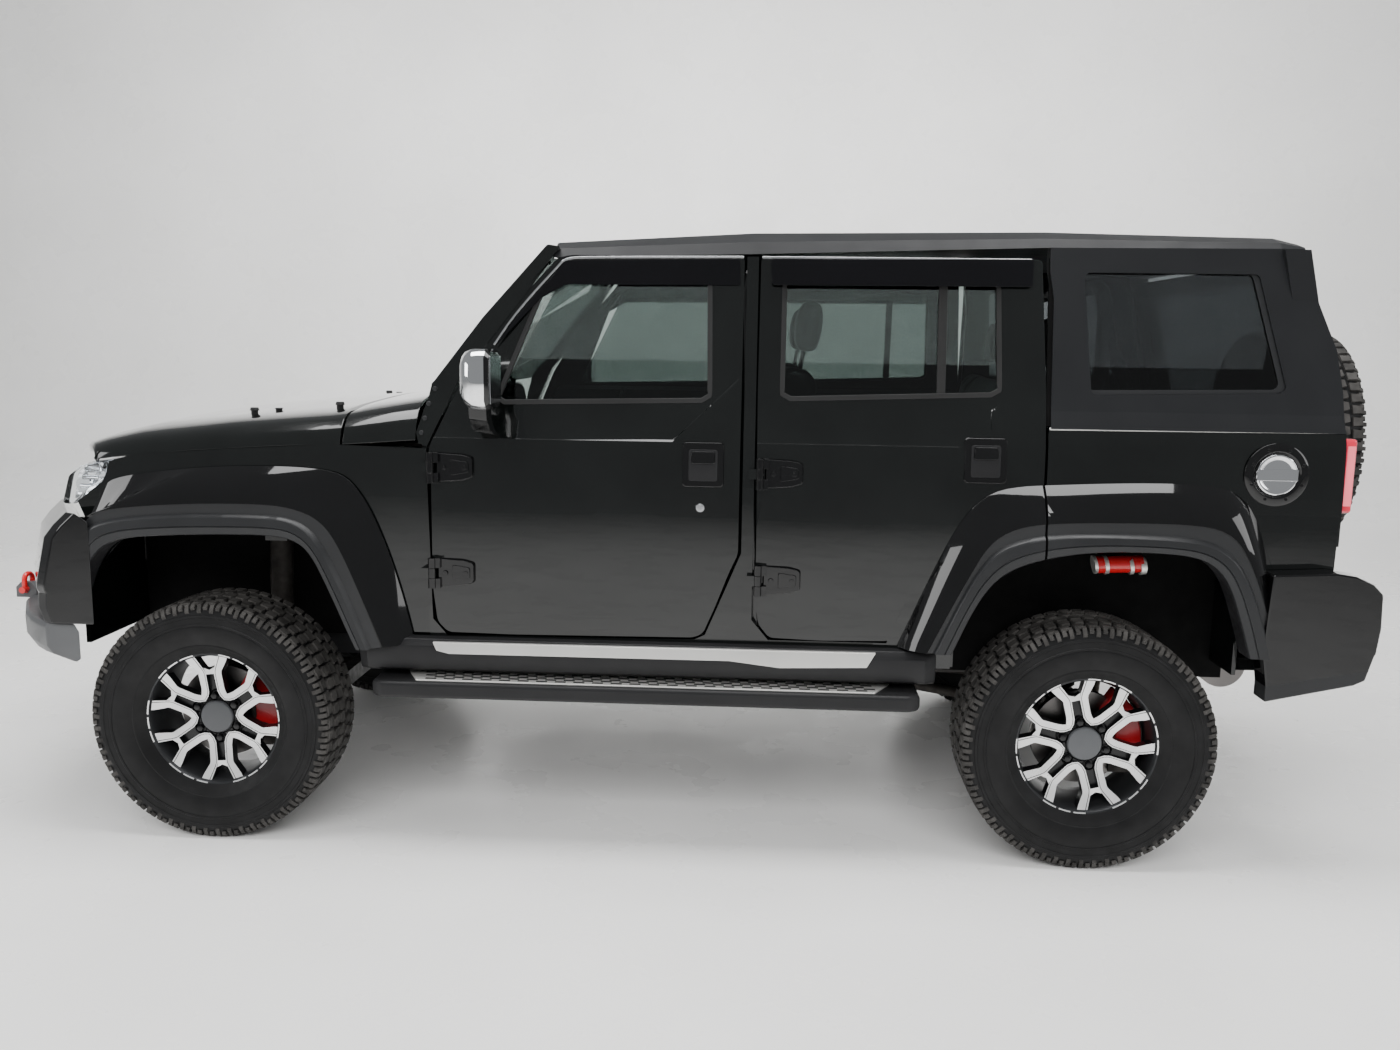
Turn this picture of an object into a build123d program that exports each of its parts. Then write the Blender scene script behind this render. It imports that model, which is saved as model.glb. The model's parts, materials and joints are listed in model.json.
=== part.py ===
from build123d import *
import math
import os

os.makedirs("parts", exist_ok=True)

# Lifted four-door off-road car, modelled in millimetres, +X forward, +Y to the left, +Z up.
# While the pieces are made, the origin lies midway between the axles and the hubs are at the loaded height.
# Each piece is moved by one shift when it is written, so the tyres stand on z = 0 and x = 0 is mid-length.

# Driving dimensions of the whole car
wheelbase = 2745.0
track = 1610.0
front_overhang = 857.0
rear_overhang = 1007.0
tyre_radius = 388.0
tyre_width = 265.0
hub_height = 376.0
body_half_width = 870.0
flare_width = 88.0
sill_height = 600.0
door_bottom = 672.0
shoulder_height = 1150.0
belt_rise = 250.0
window_rise = 447.0
roof_rise = 85.0
shut_gap = 7.0
latch_swing = 13.0
seat_gap = 0.3
overrun = 20.0

belt_height = shoulder_height + belt_rise
door_top = belt_height + window_rise
roof_height = door_top + roof_rise
flare_half_width = body_half_width + flare_width
axle_front = wheelbase / 2
axle_rear = -wheelbase / 2
nose_x = axle_front + front_overhang
tail_x = axle_rear - rear_overhang
shift = Pos(-(nose_x + tail_x) / 2, 0, tyre_radius - hub_height)


# Shared makers
def box(x_low, x_high, y_low, y_high, z_low, z_high):
    """A block given by its faces."""
    size = (x_high - x_low, y_high - y_low, z_high - z_low)
    return Pos((x_low + x_high) / 2, (y_low + y_high) / 2, (z_low + z_high) / 2) * Box(*size)


def closed_face(points, radii=None):
    """A flat face from corner points, with one rounding radius for each corner if radii is given."""
    if radii is None:
        return make_face(Polyline(*points, close=True))
    return make_face(FilletPolyline(*points, radius=radii, close=True))


def side_plate(points, y_low, y_high, radii=None):
    """An outline of (x, z) points carried across the car from y_low to y_high."""
    plane = Plane(origin=(0, y_high, 0), x_dir=(1, 0, 0), z_dir=(0, -1, 0))
    return extrude(plane * closed_face(points, radii), y_high - y_low)


def cross_plate(points, x_low, x_high, radii=None):
    """An outline of (y, z) points carried along the car from x_low to x_high."""
    plane = Plane(origin=(x_low, 0, 0), x_dir=(0, 1, 0), z_dir=(1, 0, 0))
    return extrude(plane * closed_face(points, radii), x_high - x_low)


def plan_plate(points, z_low, z_high, radii=None):
    """An outline of (x, y) points carried up from z_low to z_high."""
    return extrude(Plane.XY.offset(z_low) * closed_face(points, radii), z_high - z_low)


def cross_loft(stations):
    """A body through flat (y, z) outlines, each given with its x."""
    faces = [
        Plane(origin=(x, 0, 0), x_dir=(0, 1, 0), z_dir=(1, 0, 0)) * closed_face(points)
        for x, points in stations
    ]
    return loft(faces, ruled=True)


def side_loft(stations):
    """A body through flat (x, z) outlines, each given with its y."""
    faces = [
        Plane(origin=(0, y, 0), x_dir=(1, 0, 0), z_dir=(0, -1, 0)) * closed_face(points, radii)
        for y, points, radii in stations
    ]
    return loft(faces, ruled=True)


def rod(start, end, radius):
    """A round bar between two points."""
    line = Vector(*end) - Vector(*start)
    plane = Plane(origin=start, z_dir=line)
    return extrude(plane * Circle(radius), line.length)


def bent_tube(points, radius, bends):
    """A round tube along straight runs and tangent arcs."""
    path = FilletPolyline(*points, radius=bends)
    plane = Plane(origin=path @ 0, z_dir=path % 0)
    return sweep(plane * Circle(radius), path=path)


def turned(profile, axis=Axis.Z):
    """A turned piece from (radius, along) points about an axis."""
    face = Plane.XZ * closed_face(profile)
    return revolve(face, axis=axis)


def from_shares(shares, x_low, x_high, z_low, z_high):
    """Points given as shares of a length and a height."""
    return [(x_low + sx * (x_high - x_low), z_low + sz * (z_high - z_low)) for sx, sz in shares]


def grown(points, amount):
    """A face of an outline moved outwards by amount, or inwards if it is negative."""
    return offset(closed_face(points), amount, kind=Kind.INTERSECTION)


def grown_plate(points, amount, y_low, y_high):
    """An outline of (x, z) points, grown by amount, carried across from y_low to y_high."""
    plane = Plane(origin=(0, y_high, 0), x_dir=(1, 0, 0), z_dir=(0, -1, 0))
    return extrude(plane * grown(points, amount), y_high - y_low)


def mirrored(shape):
    """The same piece on the right side of the car."""
    return mirror(shape, about=Plane.XZ)


def both(shape):
    """A left piece with its right twin, as separate solids."""
    return [shape, mirrored(shape)]


def solids_of(item):
    """Every solid of a shape or of a list of shapes."""
    if isinstance(item, (list, tuple)):
        return [solid for part in item for solid in solids_of(part)]
    return list(item.solids())


def save(name, item):
    """Move a node into the car's frame and write its file."""
    export_step(shift * Compound(children=solids_of(item)), f"parts/{name}.step")


# Wheels: a tyre, a split-spoke rim and a brake disc
rim_radius = 216.0
rim_half_width = 98.0
rim_wall = 12.0
rim_flange = 15.0
rim_face_radius = 228.0
hub_offset = 33.0
face_plane = 78.0
face_depth = 46.0
spoke_units = 6
bolt_circle = 139.7
cap_radius = 46.0
cap_depth = 14.0
nut_radius = 11.0
nut_depth = 22.0
nut_pocket_radius = 17.0
pocket_depth = 24.0
window_round = 7.0
disc_radius = 152.0
disc_thickness = 26.0
disc_hat_radius = 78.0
disc_y = -15.0
tread_groove_width = 9.0
tread_groove_depth = 9.0
unit_angle = 360 / spoke_units
half_unit = unit_angle / 2

# Tyre section: (radius share between rim and tread, width share of half the width)
tyre_section_shares = [
    (0.18, 0.90), (0.50, 1.0), (0.80, 0.96), (0.93, 0.89), (0.985, 0.76),
    (1.0, 0.50),
]
# Wheel openings in polar form: (radius share of the face, degrees from the opening's middle)
big_window_shares = [(0.34, 0), (0.63, 12.9), (0.925, 11.5), (0.945, 0), (0.925, -11.5), (0.63, -12.9)]
small_window_shares = [(0.715, 6.0), (0.93, 11.3), (0.94, 0), (0.93, -11.3), (0.715, -6.0)]
window_round_shares = [2, 3, 1, 8, 1, 3]
slot_share = (0.36, 0.64)
slot_half_width_share = 0.052


def polar_points(shares, middle):
    """Points on the wheel face from polar shares about a middle direction in degrees."""
    return [
        (
            rim_face_radius * radius * math.cos(math.radians(middle + turn)),
            rim_face_radius * radius * math.sin(math.radians(middle + turn)),
        )
        for radius, turn in shares
    ]


def make_tyre():
    """The tyre about the Z axis, outer side up."""
    half = tyre_width / 2
    side = [
        (rim_radius + share * (tyre_radius - rim_radius), half * width)
        for share, width in tyre_section_shares
    ]
    bead = rim_half_width - rim_flange
    side = [(rim_radius, bead), (rim_face_radius, bead)] + side
    tread = side + [(radius, -along) for radius, along in reversed(side)]
    tyre = turned(tread)
    for centre_share in (-0.5, 0.0, 0.5):
        centre = centre_share * half
        low, high = centre - tread_groove_width / 2, centre + tread_groove_width / 2
        floor = tyre_radius - tread_groove_depth
        groove = [(floor, low), (floor, high), (tyre_radius + overrun, high), (tyre_radius + overrun, low)]
        tyre -= turned(groove)
    return tyre


def make_rim():
    """The rim about the Z axis, face up: barrel, dished face with split spokes, nuts and cap."""
    lip = rim_half_width - rim_wall
    inner = rim_radius - rim_wall
    bead = rim_half_width - rim_flange
    barrel = turned([
        (inner, -rim_half_width), (rim_face_radius, -rim_half_width), (rim_face_radius, -bead),
        (rim_radius, -bead), (rim_radius, bead), (rim_face_radius, bead), (rim_face_radius, rim_half_width),
        (inner, rim_half_width),
    ])
    hub_back = hub_offset
    face_low = face_plane - face_depth
    face = turned([
        (0, hub_back), (disc_hat_radius, hub_back), (inner + rim_wall / 2, face_low),
        (inner + rim_wall / 2, lip), (disc_hat_radius, face_plane - face_depth / 4),
        (0, face_plane - face_depth / 4),
    ])
    top = rim_half_width + overrun
    for unit in range(spoke_units):
        axis_angle = 90 + unit * unit_angle
        big = polar_points(big_window_shares, axis_angle + half_unit)
        small = polar_points(small_window_shares, axis_angle)
        face -= plan_plate(big, 0, top, [window_round * share for share in window_round_shares])
        face -= plan_plate(small, 0, top)
        turn = Rot(0, 0, axis_angle)
        slot_low, slot_high = (rim_face_radius * share for share in slot_share)
        half = rim_face_radius * slot_half_width_share
        face -= turn * box(slot_low, slot_high, -half, half, face_plane - pocket_depth - face_depth / 4, top)
        hole = Pos(bolt_circle / 2, 0, 0) * Cylinder(nut_pocket_radius, top * 2)
        face -= turn * (hole & box(0, rim_face_radius, -disc_hat_radius, disc_hat_radius,
                                   face_plane - pocket_depth, top))
        nut_low = face_plane - pocket_depth
        nut = plan_plate([(nut_radius * math.cos(math.radians(a)), nut_radius * math.sin(math.radians(a)))
                          for a in range(0, 360, 60)], nut_low, nut_low + nut_depth)
        face += turn * Pos(bolt_circle / 2, 0, 0) * nut
    cap_low = face_plane - face_depth / 4
    cap = turned([(0, cap_low - cap_depth / 9), (cap_radius, cap_low - cap_depth / 9),
                  (cap_radius, cap_low + cap_depth * 0.7),
                  (cap_radius * 0.9, cap_low + cap_depth), (0, cap_low + cap_depth)])
    return barrel + face + cap


def make_disc():
    """The brake disc about the Z axis, with the hat that the rim bolts to."""
    low, high = disc_y - disc_thickness / 2, disc_y + disc_thickness / 2
    return turned([
        (0, low), (disc_radius, low), (disc_radius, high), (disc_hat_radius, high),
        (disc_hat_radius, hub_offset), (0, hub_offset),
    ])


def wheel_place(x, side):
    """Where a wheel stands: side is 1 on the left and -1 on the right."""
    return Pos(x, side * track / 2, 0) * Pos(0, 0, hub_height) * Rot(-90 * side, 0, 0)


# Body side section
lean_top_half_width = body_half_width * 0.892
lean_belt_half_width = body_half_width * 0.963
lean_shoulder_half_width = body_half_width * 0.991
sill_half_width = body_half_width * 0.991
roof_edge_half_width = body_half_width * 0.793
drip_half_width = body_half_width * 0.856
shoulder_top = shoulder_height + belt_rise * 0.6
swell_height = 760.0
lower_wall = 90.0
upper_wall = 45.0
skin_wall = 30.0
side_section = [
    (sill_half_width, sill_height), (body_half_width, swell_height), (body_half_width, shoulder_height),
    (lean_shoulder_half_width, shoulder_top), (lean_belt_half_width, belt_height),
    (lean_top_half_width, door_top + shut_gap),
]


def section_band(x_low, x_high, lower_depth, upper_depth, z_low=sill_height, z_high=door_top + shut_gap):
    """The body side's own wall, which leans in above the belt, between two heights."""
    outer = side_section
    inner = [
        (lean_top_half_width - upper_depth, door_top + shut_gap),
        (lean_belt_half_width - upper_depth, belt_height),
        (lean_belt_half_width - lower_depth, belt_height - upper_wall),
        (body_half_width - lower_depth, shoulder_height), (body_half_width - lower_depth, sill_height),
    ]
    wall = cross_plate(outer + inner, x_low, x_high)
    return wall & box(x_low - overrun, x_high + overrun, 0, body_half_width + overrun, z_low, z_high)


# Door outlines in (x, z), front door from latch to hinge edge, rear door the same
front_latch_x = -293.0
front_hinge_x = 667.0
rear_hinge_x = -342.0
rear_latch_x = -1205.0
front_door_shares = [
    (0.142, 0.006), (0.946, 0.0), (0.988, 0.041), (1.0, 0.494), (0.903, 0.666), (0.602, 0.988),
    (0.0, 1.0), (0.0, 0.237), (0.074, 0.09), (0.111, 0.018),
]
rear_door_shares = [
    (1.0, 1.0), (1.0, 0.06), (0.943, 0.01), (0.53, 0.01), (0.49, 0.085), (0.423, 0.205),
    (0.344, 0.315), (0.22, 0.385), (0.0, 0.42), (0.0, 0.9), (0.022, 1.0),
]
front_door_outline = from_shares(front_door_shares, front_latch_x, front_hinge_x, door_bottom, door_top)
rear_door_outline = from_shares(rear_door_shares, rear_latch_x, rear_hinge_x, door_bottom, door_top)
front_window_shares = [(0.785, 0.0), (0.1, 0.013), (0.108, 0.855), (0.58, 0.855)]
rear_window_shares = [(0.915, 0.04), (0.15, 0.093), (0.175, 0.882), (0.912, 0.869)]
front_window = from_shares(front_window_shares, front_latch_x, front_hinge_x, belt_height, door_top)
rear_window = from_shares(rear_window_shares, rear_latch_x, rear_hinge_x, belt_height, door_top)
latch_inset = 18.0
glass_thickness = 5.0
glass_rebate = 12.0


def door_shell(outline, window):
    """A left door: outer skin to the outline, a deeper inner box set in from the edge, and the window."""
    x_low, x_high = min(x for x, z in outline), max(x for x, z in outline)
    low, high = body_half_width - lower_wall - upper_wall, body_half_width + overrun
    top = door_top + shut_gap
    skin = section_band(x_low, x_high, skin_wall, skin_wall) & side_plate(outline, low - lower_wall, high)
    core = section_band(x_low, x_high, lower_wall, upper_wall, sill_height, top - latch_inset)
    core = core & grown_plate(outline, -latch_inset, low - lower_wall, high)
    return (skin + core) - side_plate(window, low - lower_wall, high, [latch_inset] * len(window))


def pane(outline, x_low, x_high, depth):
    """A glass pane that follows the lean of the body side, set in from its outer surface."""
    outer = [
        (lean_belt_half_width - depth, belt_height), (lean_top_half_width - depth, door_top + shut_gap),
        (lean_top_half_width - depth - glass_thickness, door_top + shut_gap),
        (lean_belt_half_width - depth - glass_thickness, belt_height),
    ]
    drop = (lean_shoulder_half_width - lean_belt_half_width) / 2
    outer[0] = (outer[0][0] + drop / 2, belt_height - drop * 2)
    outer[3] = (outer[3][0] + drop / 2, belt_height - drop * 2)
    sheet = cross_plate(outer, x_low, x_high)
    return sheet & side_plate(outline, 0, body_half_width + overrun, [latch_inset] * len(outline))


# Arches: opening, trim and flare outlines as shares of the arch's half length and height above the hub
arch_reach = 440.0
arch_rise = 615.0
front_opening_shares = [(0.93, 0.38), (0.78, 0.80), (0.56, 0.965), (-0.60, 0.985), (-0.82, 0.88),
                        (-1.10, 0.38)]
front_trim_shares = [(1.06, 0.38), (0.91, 0.86), (0.68, 1.045), (-0.66, 1.08), (-0.90, 0.965), (-1.26, 0.42)]
front_gloss_shares = [(1.11, 0.42), (0.94, 0.93), (0.72, 1.10), (-0.68, 1.14), (-0.98, 1.0), (-1.30, 0.46)]
front_flare_shares = [(1.09, 0.60), (0.98, 1.10), (0.70, 1.24), (-0.80, 1.315), (-1.16, 1.21), (-1.49, 0.48)]
rear_opening_shares = [(0.98, 0.38), (0.80, 0.78), (0.56, 0.95), (-0.66, 1.0), (-0.84, 0.86), (-1.02, 0.38)]
rear_trim_shares = [(1.12, 0.44), (0.86, 0.95), (0.60, 1.06), (-0.68, 1.07), (-0.90, 0.98), (-1.17, 0.44)]
rear_gloss_shares = [(1.18, 0.48), (0.90, 1.00), (0.64, 1.11), (-0.72, 1.14), (-0.97, 1.02), (-1.22, 0.48)]
rear_flare_shares = [(1.34, 0.48), (1.0, 1.12), (0.78, 1.27), (-0.72, 1.325), (-0.98, 1.27), (-1.24, 0.48)]
flare_root = body_half_width
flare_foot_front = 250.0
flare_foot_rear = 290.0
flare_shoulder = body_half_width + flare_width * 0.85
arch_round = 60.0


def arch_points(shares, axle):
    """Arch outline points about an axle."""
    return [(axle + sx * arch_reach, hub_height + sz * arch_rise) for sx, sz in shares]


def make_flare(axle, opening, trim, gloss, top, foot_height):
    """A wide arch flare: a shoulder that runs out from the body to a flat trim lip round the opening."""
    soft = [0.1, arch_round, arch_round, arch_round, arch_round, 0.1]
    low = hub_height + foot_height
    outer = side_loft([
        (flare_root, arch_points(top, axle), None),
        (flare_shoulder, arch_points(gloss, axle), None),
    ])
    lip = side_plate(arch_points(trim, axle), flare_root, flare_half_width, soft)
    hole = side_plate(arch_points(opening, axle), 0, flare_half_width + overrun, soft)
    under = box(axle - 2 * arch_reach, axle + 2 * arch_reach, 0, flare_half_width + overrun, 0, low)
    return (outer + lip) - hole - under


def flare_space(axle, top):
    """The room that a flare and its arch take up outside the body, with the shut gap round it."""
    points = arch_points(top, axle)
    foot = [(points[-1][0], 0), (points[0][0], 0)]
    return grown_plate(points + foot, 2 * shut_gap, flare_root - seat_gap, flare_half_width + overrun)


# Frame, floor and the closed body
rail_outer = 440.0
rail_width = 100.0
rail_height = 120.0
rail_front = 1812.0
rail_rear = -1880.0
cross_width = 90.0
floor_thickness = 40.0
frame_top = sill_height
frame_low = frame_top - rail_height
cross_shares = (0.0, 0.176, 0.428)
cross_places = [rail_rear + share * (rail_front - rail_rear) for share in cross_shares]
cross_places.append(rail_front - cross_width)
gearbox_beam_x = 300.0
gearbox_beam_height = 50.0
subframe_reach = 150.0
subframe_width = 50.0
subframe_low = 270.0
subframe_height = 60.0
arm_root = rail_outer * 0.982


def make_frame():
    """The ladder frame as simple solids: rails, cross members, subframe, outriggers and brackets."""
    inner = rail_outer - rail_width
    left = [box(rail_rear, rail_front, inner, rail_outer, frame_low, frame_top)]
    for side in (-1, 1):
        x = axle_front + side * subframe_reach
        left.append(box(x - subframe_width / 2, x + subframe_width / 2, arm_root - subframe_width, arm_root,
                        subframe_low + subframe_height, frame_low))
    left.append(box(axle_rear - spring_radius, axle_rear + spring_radius, rail_outer,
                    spring_y + spring_radius,
                    spring_top, frame_top))
    left.append(box(gearbox_beam_x, gearbox_beam_x + cross_width, inner, rail_outer - rail_width / 2,
                    gearbox_low - seat_gap, frame_low))
    left.append(box(link_front - cross_width / 3, link_front + cross_width / 3, rail_outer - rail_width * 0.7,
                    rail_outer - rail_width * 0.3, frame_low - rail_height / 2, frame_low))
    for x in step_bracket_places:
        left.append(box(x - step_bracket_half, x + step_bracket_half, rail_outer, step_inner, frame_low,
                        frame_low + step_bracket_half))
    across = []
    for x in cross_places:
        across.append(box(x, x + cross_width, -inner, inner, frame_low + rail_height / 4,
                          frame_top - rail_height / 4))
    for side in (-1, 1):
        x = axle_front + side * subframe_reach
        across.append(box(x - subframe_width / 2, x + subframe_width / 2, -arm_root, arm_root, subframe_low,
                          subframe_low + subframe_height))
    across.append(box(gearbox_beam_x, gearbox_beam_x + cross_width, rail_width / 2 - rail_outer,
                      rail_outer - rail_width / 2, gearbox_low - gearbox_beam_height, gearbox_low - seat_gap))
    hanger_x = cross_places[1] + cross_width / 2
    hanger = box(hanger_x - pipe_radius / 3, hanger_x + pipe_radius / 3, pipe_y - pipe_radius / 3,
                 pipe_y + pipe_radius / 3, pipe_z + pipe_radius + seat_gap, frame_low + rail_height / 4)
    return left + [mirrored(part) for part in left] + across + [hanger]


# Side step and sill cover
step_front = 840.0
step_rear = -853.0
step_inner = body_half_width * 0.85
step_outer = flare_half_width * 1.004
step_low = 480.0
step_top = 540.0
step_bracket_places = (-600.0, 0.0, 600.0)
step_bracket_half = 30.0
tread_width = 120.0
tread_height = 6.0
cover_front = 890.0
cover_rear = -905.0
cover_outer = body_half_width + flare_width * 0.59
cover_low = 552.0
cover_top = 664.0

# Rear suspension
axle_tube_radius = 40.0
diff_radius = 125.0
diff_half_width = 90.0
pinion_length = 30.0
pinion_radius = 48.0
spring_radius = 52.0
spring_y = 560.0
spring_low = 430.0
spring_top = 560.0
link_front = -700.0
link_radius = 20.0
caliper_outer = 190.0
caliper_inner = 92.0
caliper_wall = 12.0
caliper_gap = 6.0
caliper_spread = 34.0


def make_caliper():
    """A brake caliper about the wheel's Z axis, face up, on its +X side: a bridge over the disc."""
    low = disc_y - disc_thickness / 2 - caliper_gap - caliper_wall * 2
    high = disc_y + disc_thickness / 2 + caliper_gap + caliper_wall
    block = turned([(caliper_inner, low), (caliper_outer, low), (caliper_outer, high), (caliper_inner, high)])
    slot = turned([
        (0, disc_y - disc_thickness / 2 - caliper_gap), (disc_radius + caliper_gap,
                                                         disc_y - disc_thickness / 2 - caliper_gap),
        (disc_radius + caliper_gap, disc_y + disc_thickness / 2 + caliper_gap),
        (0, disc_y + disc_thickness / 2 + caliper_gap),
    ])
    half = caliper_outer * math.sin(math.radians(caliper_spread))
    wedge = box(caliper_inner, caliper_outer + overrun, -half, half, low - overrun, high + overrun)
    return (block - slot) & wedge


def caliper_place(x, side):
    """Where a caliper stands: behind the axle line, on the wheel's own axis."""
    return Pos(x, side * track / 2, hub_height) * Rot(-90 * side, 0, 0) * Rot(0, 0, 180)


def make_rear_axle():
    """The live rear axle with its differential, trailing links, brake calipers and propshaft."""
    end = track / 2 + disc_y - disc_thickness / 2 - caliper_gap
    tube = rod((axle_rear, -end, hub_height), (axle_rear, end, hub_height), axle_tube_radius)
    diff = rod((axle_rear, -diff_half_width, hub_height), (axle_rear, diff_half_width, hub_height),
               diff_radius)
    nose = rod((axle_rear, 0, hub_height), (axle_rear + diff_radius + pinion_length, 0, hub_height),
               pinion_radius)
    axle = tube + diff + nose
    for side in (-1, 1):
        y = side * (rail_outer - rail_width / 2)
        axle += rod((axle_rear, y, hub_height - axle_tube_radius),
                    (link_front - cross_width / 3 - link_radius / 5, y, frame_low - rail_height / 3),
                    link_radius)
        seat_y = side * spring_y
        axle += box(axle_rear - spring_radius, axle_rear + spring_radius, seat_y - spring_radius,
                    seat_y + spring_radius, hub_height, spring_low)
        caliper = caliper_place(axle_rear, side) * make_caliper()
        carrier_low = end - caliper_wall
        carrier = box(axle_rear - caliper_outer + overrun, axle_rear, min(side * carrier_low, side * end),
                      max(side * carrier_low, side * end), hub_height - axle_tube_radius,
                      hub_height + axle_tube_radius)
        hub_face = track / 2 + disc_y - disc_thickness / 2 - seat_gap
        spindle = rod((axle_rear, side * carrier_low, hub_height), (axle_rear, side * hub_face, hub_height),
                      ball_radius)
        axle += carrier + caliper + spindle
    return axle


# Front suspension: fixed arms with half shafts, and a knuckle that steers about an upright axis
kingpin_y = 700.0
arm_half = 40.0
arm_thickness = 24.0
lower_arm_low = 285.0
upper_arm_low = 506.0
knuckle_radius = 62.0
cup_radius = 50.0
cup_half_height = 46.0
joint_radius = 40.0
shaft_radius = 15.0
ball_radius = 24.0
carrier_radius = 72.0
front_diff_half = 140.0
front_diff_radius = 68.0
damper_radius = 38.0
damper_back = 88.0
damper_foot_out = 120.0
damper_head_out = 80.0
damper_top = 900.0
liner_wall = 15.0
liner_inner = 470.0


def make_arm(low):
    """A wishbone in plan, wide at the frame and narrow at the knuckle, with its ball-joint boss."""
    waist = (arm_root + kingpin_y) / 2
    reach = subframe_reach + subframe_width / 2
    left = [(axle_front - reach, arm_root), (axle_front - arm_half, waist),
            (axle_front - arm_half, kingpin_y)]
    right = [(2 * axle_front - x, y) for x, y in reversed(left)]
    arm = plan_plate(left + right, low, low + arm_thickness)
    inside = [(axle_front - reach * 0.68, arm_root - overrun), (axle_front, waist - arm_half),
              (axle_front + reach * 0.68, arm_root - overrun)]
    arm -= plan_plate(inside, low, low + arm_thickness)
    return arm + Pos(axle_front, kingpin_y, low + arm_thickness / 2) * Cylinder(arm_half, arm_thickness)


def make_front_suspension():
    """Wishbones, dampers with their springs, front differential and half shafts."""
    upper = make_arm(upper_arm_low)
    upper -= box(axle_front - 2 * subframe_reach, axle_front + 2 * subframe_reach, 0, rail_outer, frame_low,
                 frame_top)
    lower = make_arm(lower_arm_low)
    foot = (axle_front - damper_back, rail_outer + damper_foot_out, lower_arm_low + arm_thickness)
    damper_head = (axle_front - damper_back, rail_outer + damper_head_out, damper_top)
    damper = rod(foot, damper_head, damper_radius) & box(0, wheelbase, 0, track, foot[2], damper_top)
    shaft = rod((axle_front, front_diff_half, hub_height), (axle_front, kingpin_y, hub_height), shaft_radius)
    joint = Pos(axle_front, kingpin_y, hub_height) * Sphere(joint_radius)
    diff = rod((axle_front, -front_diff_half, hub_height), (axle_front, front_diff_half, hub_height),
               front_diff_radius)
    reach = subframe_reach - subframe_width / 2 - seat_gap
    diff += box(axle_front - reach, axle_front + reach, -arm_half, arm_half,
                subframe_low + subframe_height / 4,
                subframe_low + subframe_height)
    half = shaft + joint
    return [upper, mirrored(upper), lower + damper, mirrored(lower + damper), diff + half + mirrored(half)]


def make_knuckle(side):
    """A steering knuckle: a cup round the shaft joint, ball-joint posts, hub carrier and caliper."""
    centre = Pos(axle_front, kingpin_y, hub_height)
    low = lower_arm_low + arm_thickness + seat_gap
    high = upper_arm_low - seat_gap
    shell = centre * Cylinder(knuckle_radius, 2 * (cup_half_height + overrun))
    shell -= centre * Cylinder(cup_radius, 2 * cup_half_height)
    shell -= box(axle_front - track, axle_front + track, 0, kingpin_y, hub_height - cup_half_height,
                 hub_height + cup_half_height)
    post = rod((axle_front, kingpin_y, low), (axle_front, kingpin_y, high), ball_radius)
    post -= centre * Cylinder(cup_radius, 2 * cup_half_height)
    end = track / 2 + disc_y - disc_thickness / 2 - caliper_gap
    carrier = rod((axle_front, kingpin_y + cup_radius, hub_height), (axle_front, end, hub_height),
                  carrier_radius)
    carrier -= centre * Cylinder(cup_radius, 2 * cup_half_height)
    ear = box(axle_front - caliper_outer + overrun, axle_front - knuckle_radius / 2, end - caliper_wall, end,
              hub_height - ball_radius, hub_height + ball_radius)
    hub_face = track / 2 + disc_y - disc_thickness / 2 - seat_gap
    spindle = rod((axle_front, end - caliper_wall, hub_height), (axle_front, hub_face, hub_height),
                  ball_radius)
    left = shell + post + carrier + ear + spindle + caliper_place(axle_front, 1) * make_caliper()
    return left if side > 0 else mirrored(left)


# Coil springs over the rear axle
spring_turns = 4
spring_wire = 7.0
spring_cup = 12.0
ring_shares = [(-1, -0.5), (-0.5, -1), (0.5, -1), (1, -0.5), (1, 0.5), (0.5, 1), (-0.5, 1), (-1, 0.5)]


def ring(reach, bar, height=0.0):
    """A closed ring about Z, with an eight-sided bar."""
    return turned([(reach + bar * along, height + bar * up) for along, up in ring_shares])


def make_rear_springs():
    """Springs round their stops, between the cups on the axle and on the frame, with each coil as a ring."""
    reach = spring_radius * 0.8
    low, high = spring_low + spring_cup, spring_top - spring_cup
    spring = Cylinder(reach - 1.5 * spring_wire, spring_top - spring_low)
    spring = Pos(0, 0, (spring_low + spring_top) / 2) * spring
    for middle in ((spring_low + low) / 2, (high + spring_top) / 2):
        spring += Pos(0, 0, middle) * Cylinder(reach, spring_cup)
    for index in range(spring_turns):
        spring += ring(reach - spring_wire, spring_wire, low + (index + 0.5) / spring_turns * (high - low))
    return both(Pos(axle_rear, spring_y, 0) * spring)


# Closed body: floor, sills, pillars, bulkhead, wheel housings and rear quarters
bulkhead_x = 740.0
bulkhead_depth = 25.0
sill_front = 864.7
quarter_front = rear_latch_x - shut_gap
body_rear = -2078.0
quarter_split = shoulder_height + belt_rise * 0.78
tail_sill_top = 950.0
housing_clearance = 32.5
housing_inner = track / 2 - tyre_width / 2 - housing_clearance
housing_top = 1010.0
housing_front_share = 0.96
housing_rear_share = 1.02
housing_wall = 12.0
post_inner = body_half_width * 0.81
post_depth = 75.0
pillar_inner_wall = 70.0
quarter_skin_shares = [
    (0.0, 1.0), (1.0, 1.0), (0.992, 0.0), (0.66, 0.0), (0.60, 0.10), (0.54, 0.165), (0.0, 0.165),
]
opening_margin = 12.0
floor_half_width = body_half_width - lower_wall
seat_base = sill_height + floor_thickness


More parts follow.
